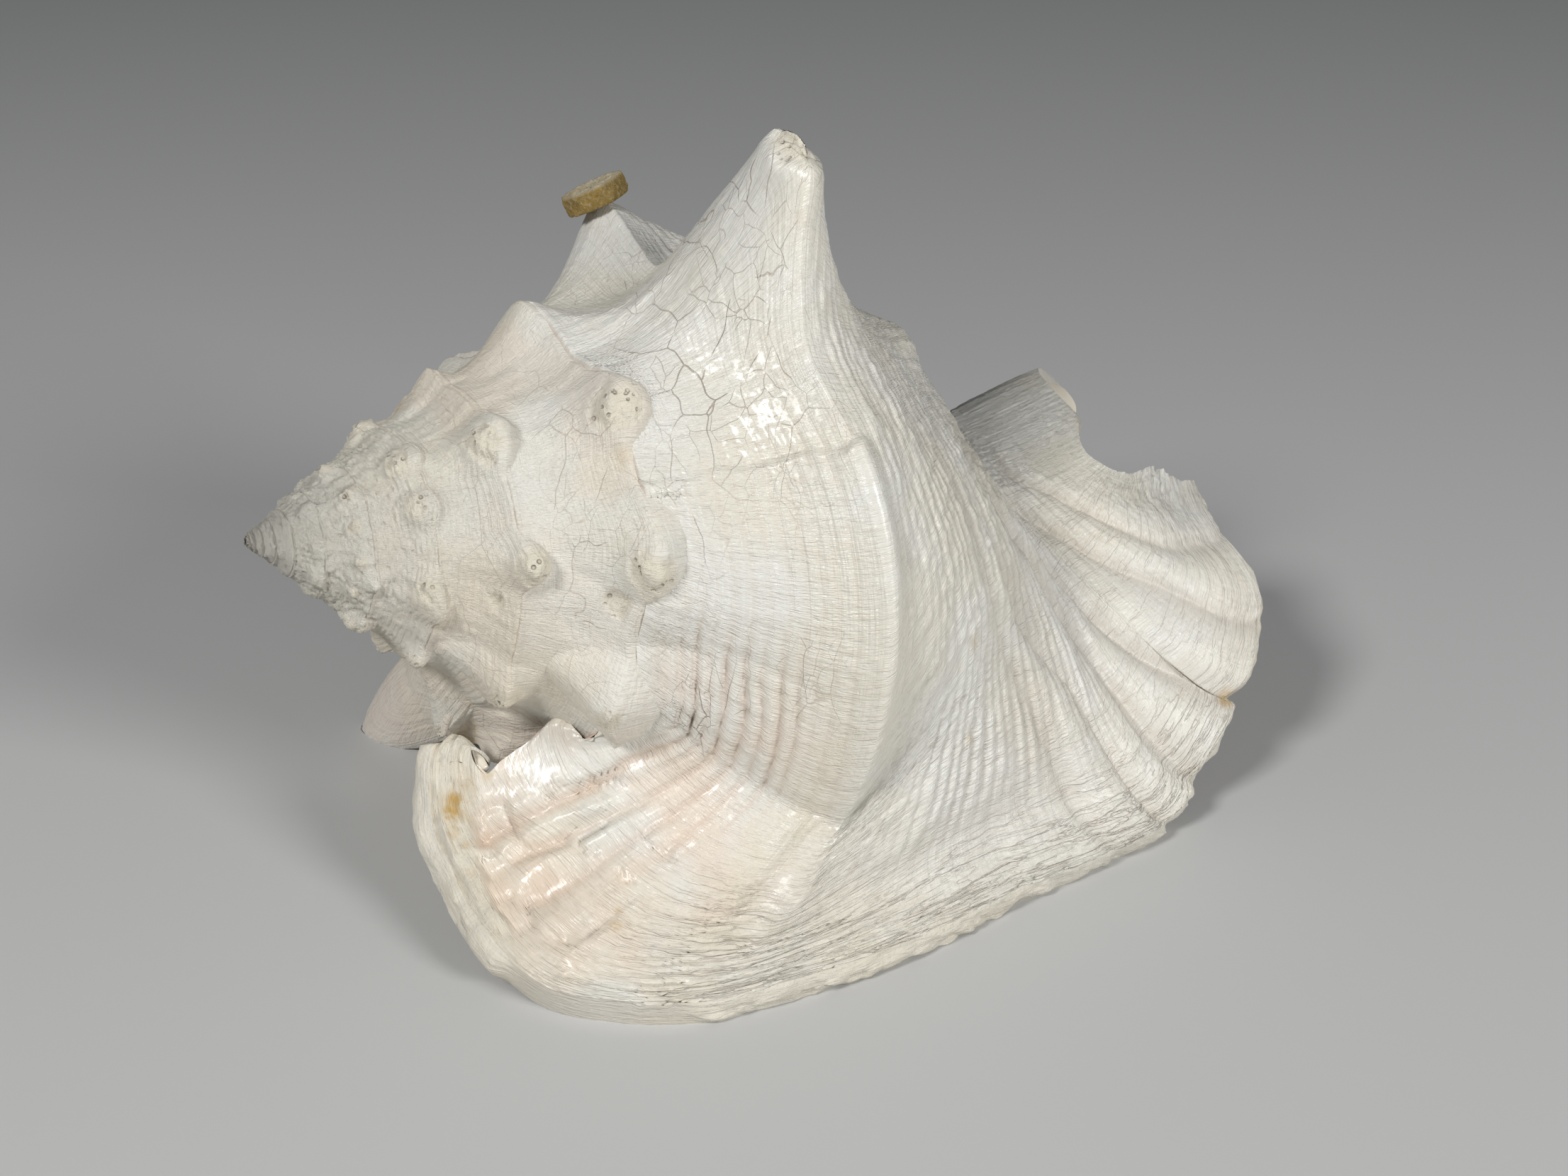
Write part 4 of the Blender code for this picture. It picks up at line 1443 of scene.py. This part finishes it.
def edge_grid():
    """Rows from the outer edge of the lip round to the inner one."""
    outer, inner = whorl.points[-1], inside_edge
    out = unit(whorl.plain[-1] - whorl.plain[-3])
    t = np.linspace(0, 1, EDGE_ROWS)[:, None]
    thick = np.linalg.norm(outer - inner, axis=-1)[None]
    s = whorl.s[-1][None]
    worn_face = window(s, 0.135, 0.155, 0.225, 0.25)
    bulge = thick * (0.22 + 0.16 * (s < 0.14)) * np.sin(np.pi * t) ** 0.8 * (1 - 0.85 * worn_face)
    layer = np.floor(t * thick / EDGE_LAYER + 0.8 * noise(s * 30, seed=41))
    ragged = noise(s * 60, layer * 0.63, seed=42) + 0.6 * noise(s * 150, layer * 0.9, seed=43)
    ragged = 0.6 * ragged * np.sin(np.pi * t) ** 0.5 * (1 - worn_face)
    straight = outer[None] * (1 - t[..., None]) + inner[None] * t[..., None]
    growth = np.stack(np.broadcast_arrays(EDGE_GROWTH + t * 8, s * SECTION_MM, t * thick), -1)
    stain_and_shade = 0.9 * bell(s, 0.803, 0.008) * (1 - t) + 0.06 * worn_face * t**0
    return {
        "points": straight + out[None] * (bulge + ragged)[..., None],
        "growth": growth,
        "chalk": (0.7 - 0.45 * worn_face) * t**0,
        "valley_and_shade": (0.2 + 0.3 * worn_face) * t**0,
        "stain_and_shade": stain_and_shade,
    }


def end_strip(column, flip=False):
    """Columns round the front or the rear border of the wall, from the outside to the inside."""
    t = np.linspace(0, 1, STRIP_COLUMNS)[None, :, None]
    points = whorl.points[:, column, None] * (1 - t) + borders.points[:, column, None] * t
    growth = np.repeat(growth_of(whorl)[:, column, None], STRIP_COLUMNS, 1)
    return {"points": points[:, ::-1] if flip else points, "growth": growth, "chalk": 0.5}


borders = inside_sheet(columns[[0, 1, -2, -1]], row_turns, lip_shares)
front_start = BACK_ROWS + FRONT_ROWS
skin("whorl_back", [rows_of(whorl_grid, 0, BACK_ROWS + 1)], outside_finish)
skin("whorl_front", [rows_of(whorl_grid, BACK_ROWS, front_start)], outside_finish)
lip_rows = rows_of(whorl_grid, front_start - 1, None)
skin("lip", [lip_rows, edge_grid(), end_strip(-1), end_strip(0, flip=True)], outside_finish)

# %% [markdown]
# ## The spire
#
# The earlier whorls are the same surface at earlier turns. Only what shows is made: from the seam to just
# past the keel, where the next whorl covers the rest. A degree is longer on a larger whorl, so the rows
# get closer together towards the last one. Copies of one whorl, scaled down, would all have the same knobs.

# %% The spire
SPIRE_COLUMNS = 80
SPIRE_END = 0.33
SPIRE_TURNS = np.concatenate([
    np.arange(FIRST_TURN, -1900, 12),
    np.arange(-1900, -900, 2.0),
    np.arange(-900, LAST_FIRST_TURN, 1.3),
    [LAST_FIRST_TURN],
])
spire_s = SPIRE_END * np.linspace(0, 1, SPIRE_COLUMNS) ** 1.15
spire = Sheet(*np.broadcast_arrays(SPIRE_TURNS[:, None], spire_s[None]))
spire_grid = outside_grid(spire)
skin("spire", [spire_grid], outside_finish)

# %% [markdown]
# ## The inside
#
# Inside, the shell is glazed: rose deep in, paler towards the edge, and smooth, so it needs a clear coat
# but no relief. The whorl before shows through the opening as well, and has the same finish.

# %% Inside finish
ROSE_DEEP = paint(0.80, 0.52, 0.43)
ROSE_PALE = paint(0.84, 0.62, 0.52)
INSIDE_EDGE = paint(0.80, 0.74, 0.62)


def make_inside():
    finish = Finish("shell inside", Roughness=0.22, Coat_Weight=0.5, Coat_Roughness=0.08)
    broad = finish.noise(finish.place, 30, 2)
    rose = finish.mix(broad.step(0.3, 0.7), ROSE_DEEP, ROSE_PALE)
    finish.feed("Base Color", finish.mix(finish.mask("chalk"), rose, INSIDE_EDGE))
    return finish.material


inside_finish = make_inside()
inside_grid = {
    "points": inside.points,
    "growth": growth_of(inside),
    "chalk": np.maximum(smoothstep(inside.u, 0.2, 1.0), smoothstep(inside.s, 0.86, 0.94)),
}
skin("inside", [inside_grid], inside_finish, inside=True)
parietal_turns = np.linspace(LAST_FIRST_TURN - WHOLE_TURN, LAST_FIRST_TURN, 120)[:, None]
parietal = Sheet(*np.broadcast_arrays(parietal_turns, np.linspace(0.3, 1, 90)[None]), hollow=True)
parietal.move(-1.6 * (1 - smoothstep(parietal.s, 0.36, 0.5)))
skin("parietal", [{"points": parietal.points, "growth": growth_of(parietal)}], inside_finish)

# %% [markdown]
# ## The callus in the rear notch
#
# Behind the lip's corner the shell left an arched sheet of callus, with a small cave under it. The rest
# of the surface says nothing about its shape, so it is a patch through measured points, whose depths are
# guesses. Rows run from its free rim down into the cave. It has a thickness, because both sides show.

# %% Callus
CALLUS = [
    # rows from the rim down into the cave, points from the whorl across to the lip, in mm
    [
        (-46.8, -6.4, 29.0), (-45.8, -6.4, 33.1), (-43.8, -7.6, 38.4), (-41.1, -11.9, 42.5),
        (-39.2, -16.8, 44.8), (-38.1, -21.4, 45.8), (-33.4, -23.8, 44.3),
    ],
    [
        (-46.3, -7.6, 29.6), (-45.3, -7.8, 32.4), (-43.3, -9.7, 36.6), (-41.2, -13.6, 39.7),
        (-39.2, -17.7, 41.2), (-36.8, -20.1, 40.7), (-32.0, -22.7, 39.9),
    ],
    [
        (-44.9, -6.4, 28.7), (-43.9, -7.0, 30.7), (-41.7, -9.2, 33.6), (-40.0, -13.1, 36.2),
        (-38.2, -16.9, 37.0), (-35.7, -19.4, 36.5), (-30.6, -21.9, 36.2),
    ],
    [
        (-42.7, -3.8, 26.5), (-41.8, -4.6, 28.1), (-40.5, -7.8, 30.4), (-39.3, -12.0, 32.3),
        (-37.7, -15.8, 32.9), (-35.1, -18.3, 32.4), (-29.8, -21.5, 33.2),
    ],
    [
        (-39.9, -0.1, 22.3), (-39.1, -1.0, 23.8), (-39.6, -6.6, 27.0), (-39.4, -11.6, 28.7),
        (-38.2, -15.7, 29.5), (-35.6, -18.1, 29.0), (-29.6, -20.9, 30.2),
    ],
    [
        (-38.9, -0.6, 21.5), (-38.6, -1.9, 22.4), (-39.0, -6.0, 24.6), (-39.7, -10.9, 25.1),
        (-39.3, -14.9, 25.4), (-36.2, -17.2, 25.7), (-29.4, -20.3, 27.2),
    ],
]
CALLUS_THICKNESS = 1.2
CALLUS_ROWS = 61
CALLUS_COLUMNS = 90


def curves_through(control, count):
    """Smooth curves down the first axis of a table of points, read at so many places."""
    last = len(control) - 1
    fine = through(np.linspace(0, last, count), range(last + 1), control.reshape(last + 1, -1))
    return fine.reshape(count, *control.shape[1:])


def callus_grids():
    """The sheet's front, its back, and its rounded rim."""
    rows = curves_through(np.array(CALLUS), CALLUS_ROWS)
    points = np.moveaxis(curves_through(np.moveaxis(rows, 1, 0), CALLUS_COLUMNS), 0, 1)
    outward = normals_of(points)
    a = np.linspace(0, 1, CALLUS_COLUMNS)[None]
    b = np.linspace(0, 1, CALLUS_ROWS)[:, None]
    uneven = 0.10 * noise(b * 22, a * 3, seed=95) + 0.25 * noise(b * 4, a * 5, seed=96)
    points = points + outward * uneven[..., None]
    growth = np.stack(np.broadcast_arrays(b * 14, a * 30, 40.0), -1)
    # Painted shade: the cave under the callus is painted dark with ochre and the hollow tone, and loses its
    # rose.
    cave_shade = smoothstep(b, 0.42, 0.75) * (1 - smoothstep(a, 0.18, 0.45))
    front = {"points": points, "growth": growth, "chalk": 0.3, "crackle": 0.35, "warm": 1.0}
    front.update({"rosy": 0.6 * (1 - cave_shade), "stain_and_shade": 0.75 * cave_shade, "valley_and_shade": 0.1 + 0.6 * cave_shade})
    back_points = points - outward * CALLUS_THICKNESS
    back = {"points": back_points[:, ::-1], "growth": growth[:, ::-1], "rosy": 0.6}
    t = np.linspace(0, 1, 7)[:, None, None]
    out = unit(points[0] - points[2])
    rim = points[0] * (1 - t) + back_points[0] * t + out * (0.5 * np.sin(np.pi * t))
    rim = {"points": rim[::-1], "growth": np.repeat(growth[:1], 7, 0), "chalk": 0.3}
    return [front, back, rim]


skin("callus", callus_grids(), outside_finish)

# %% [markdown]
# ## The felt disc
#
# A self-adhesive felt pad, the kind that keeps an ornament from scratching a table, is stuck on the tip
# of one spine. Its top is slightly domed, its side is brown, and its outline isn't quite round.
# Hair particles would be lost in an exported model, so noise pushes the surface in and out instead.

# %% Felt disc
FELT_FACING = Vector((-0.29, 0.28, 0.91)).normalized()
FELT_RADIUS = 6.4
FELT_HEIGHT = 3.6
FELT_SUNK = 0.7
FELT_RINGS = 34
FELT_SPOKES = 150
FELT_TOP = 0.4  # share of the rings that are on the top
FELT_UNDER = 0.65  # where the underside begins


def felt_points():
    """Rows run from the middle of the top over the side to the middle of the underside."""
    angle = np.linspace(0, 2 * np.pi, FELT_SPOKES + 1)[None]
    t = np.linspace(0, 1, FELT_RINGS)[:, None]
    inward = np.where(t < FELT_TOP, t / FELT_TOP, np.where(t > FELT_UNDER, (1 - t) / (1 - FELT_UNDER), 1))
    height = FELT_HEIGHT * (0.5 - np.clip((t - FELT_TOP) / (FELT_UNDER - FELT_TOP), 0, 1))
    cut = 1 + 0.05 * noise(np.cos(angle) * 1.5, np.sin(angle) * 1.5, seed=71)
    radius = FELT_RADIUS * inward * cut
    x, y = radius * np.cos(angle), radius * np.sin(angle)
    fuzz = 0.22 * rough(x / 0.9, y / 0.9, (height + 0 * x) / 0.9, seed=72)
    near_rim = np.clip(inward * 3 - 2, 0, 1)
    sideways = fuzz * near_rim
    dome = 0.35 * bell(t, 0.25, 0.2) + fuzz * np.where(t < 0.5, 1, -1) * (1 - near_rim)
    return np.stack([x + sideways * np.cos(angle), y + sideways * np.sin(angle), height + dome], -1), t


def felt_disc():
    """The disc, turned to face outwards, where the solid part has it."""
    rings, t = felt_points()
    turned = Vector((0, 0, 1)).rotation_difference(FELT_FACING).to_matrix()
    low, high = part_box("felt_pad")
    centre = np.array((low + high) / 2) / MM - FELT_SUNK * np.array(FELT_FACING)
    points = rings @ np.array(turned).T + centre + STAND
    side = window(t, 0.36, 0.42, 0.9, 1.0) * np.ones(points.shape[:2])
    return {"points": points, "growth": np.zeros_like(points), "stain_and_shade": side}


def make_felt():
    finish = Finish("felt", Roughness=0.95)
    nap = finish.noise(finish.place, 1500, 4, 0.7)
    patches = finish.noise(finish.place, 260, 3, 0.6)
    top = finish.mix(patches.step(0.35, 0.7), paint(0.62, 0.54, 0.38), paint(0.52, 0.42, 0.25))
    side = finish.mix(patches.step(0.3, 0.7), paint(0.34, 0.22, 0.05), paint(0.24, 0.16, 0.04))
    colour = finish.mix(finish.mask("stain_and_shade"), top, side)
    finish.feed("Base Color", finish.mix(nap.step(0.45, 0.7) * 0.35, colour, paint(0.62, 0.56, 0.42)))
    finish.bump(nap, 0.0006)
    return finish.material


skin("felt_disc", [felt_disc()], make_felt(), node="felt_pad")

# %% [markdown]
# ## Floor, light and camera
#
# A pale floor takes the shell's shadow. One soft lamp stands high on the left, like a window, a second
# one in front opens the shadows, and the world adds a little even light. A backdrop with painted light
# would look the same from one side only; lamps light the shell from wherever it is looked at.

# %% Floor, light and camera
floor_mesh = bpy.data.meshes.new("floor")
floor_mesh.from_pydata([(-3, -3, 0), (3, -3, 0), (3, 3, 0), (-3, 3, 0)], [], [(0, 1, 2, 3)])
floor = bpy.data.objects.new("floor", floor_mesh)
bpy.context.scene.collection.objects.link(floor)
floor_finish = Finish("pale floor", Roughness=0.7, Base_Color=paint(0.55, 0.55, 0.54))
floor_mesh.materials.append(floor_finish.material)


def area_light(name, place, target, size, power):
    """A round lamp that faces its target; size in metres, power in watts."""
    light = bpy.data.lights.new(name, "AREA")
    light.shape = "DISK"
    light.size = size
    light.energy = power
    made = bpy.data.objects.new(name, light)
    made.location = place
    made.rotation_mode = "QUATERNION"
    made.rotation_quaternion = (Vector(target) - Vector(place)).to_track_quat("-Z", "Y")
    bpy.context.scene.collection.objects.link(made)


SHELL_MIDDLE = (0, 0, 0.05)
area_light("window", (-0.85, -0.35, 0.85), SHELL_MIDDLE, 0.3, 8.6)
area_light("fill", (0.3, -1.0, 0.6), SHELL_MIDDLE, 0.4, 7.6)
world = bpy.data.worlds.new("studio")
world.use_nodes = True
sky = world.node_tree.nodes["Background"]
sky.inputs["Color"].default_value = paint(0.9, 0.95, 1.0)
sky.inputs["Strength"].default_value = 0.09
bpy.context.scene.world = world
bpy.context.scene.view_settings.view_transform = "Standard"

camera_data = bpy.data.cameras.new("camera")
camera_data.lens = 49.45
camera_data.sensor_width = 36
camera_data.clip_start = 0.01
camera = bpy.data.objects.new("camera", camera_data)
camera.location = (-0.18925, -0.3362, 0.2455)
camera.rotation_mode = "QUATERNION"
camera.rotation_quaternion = Vector((0.44414, 0.76311, -0.46947)).to_track_quat("-Z", "Y")
bpy.context.scene.collection.objects.link(camera)
bpy.context.scene.camera = camera
print("camera at", tuple(camera.location), "with a lens of", camera_data.lens, "mm")

# %% [markdown]
# ## The end
#
# Last, the view layer is brought up to date.

# %% The end
bpy.context.view_layer.update()
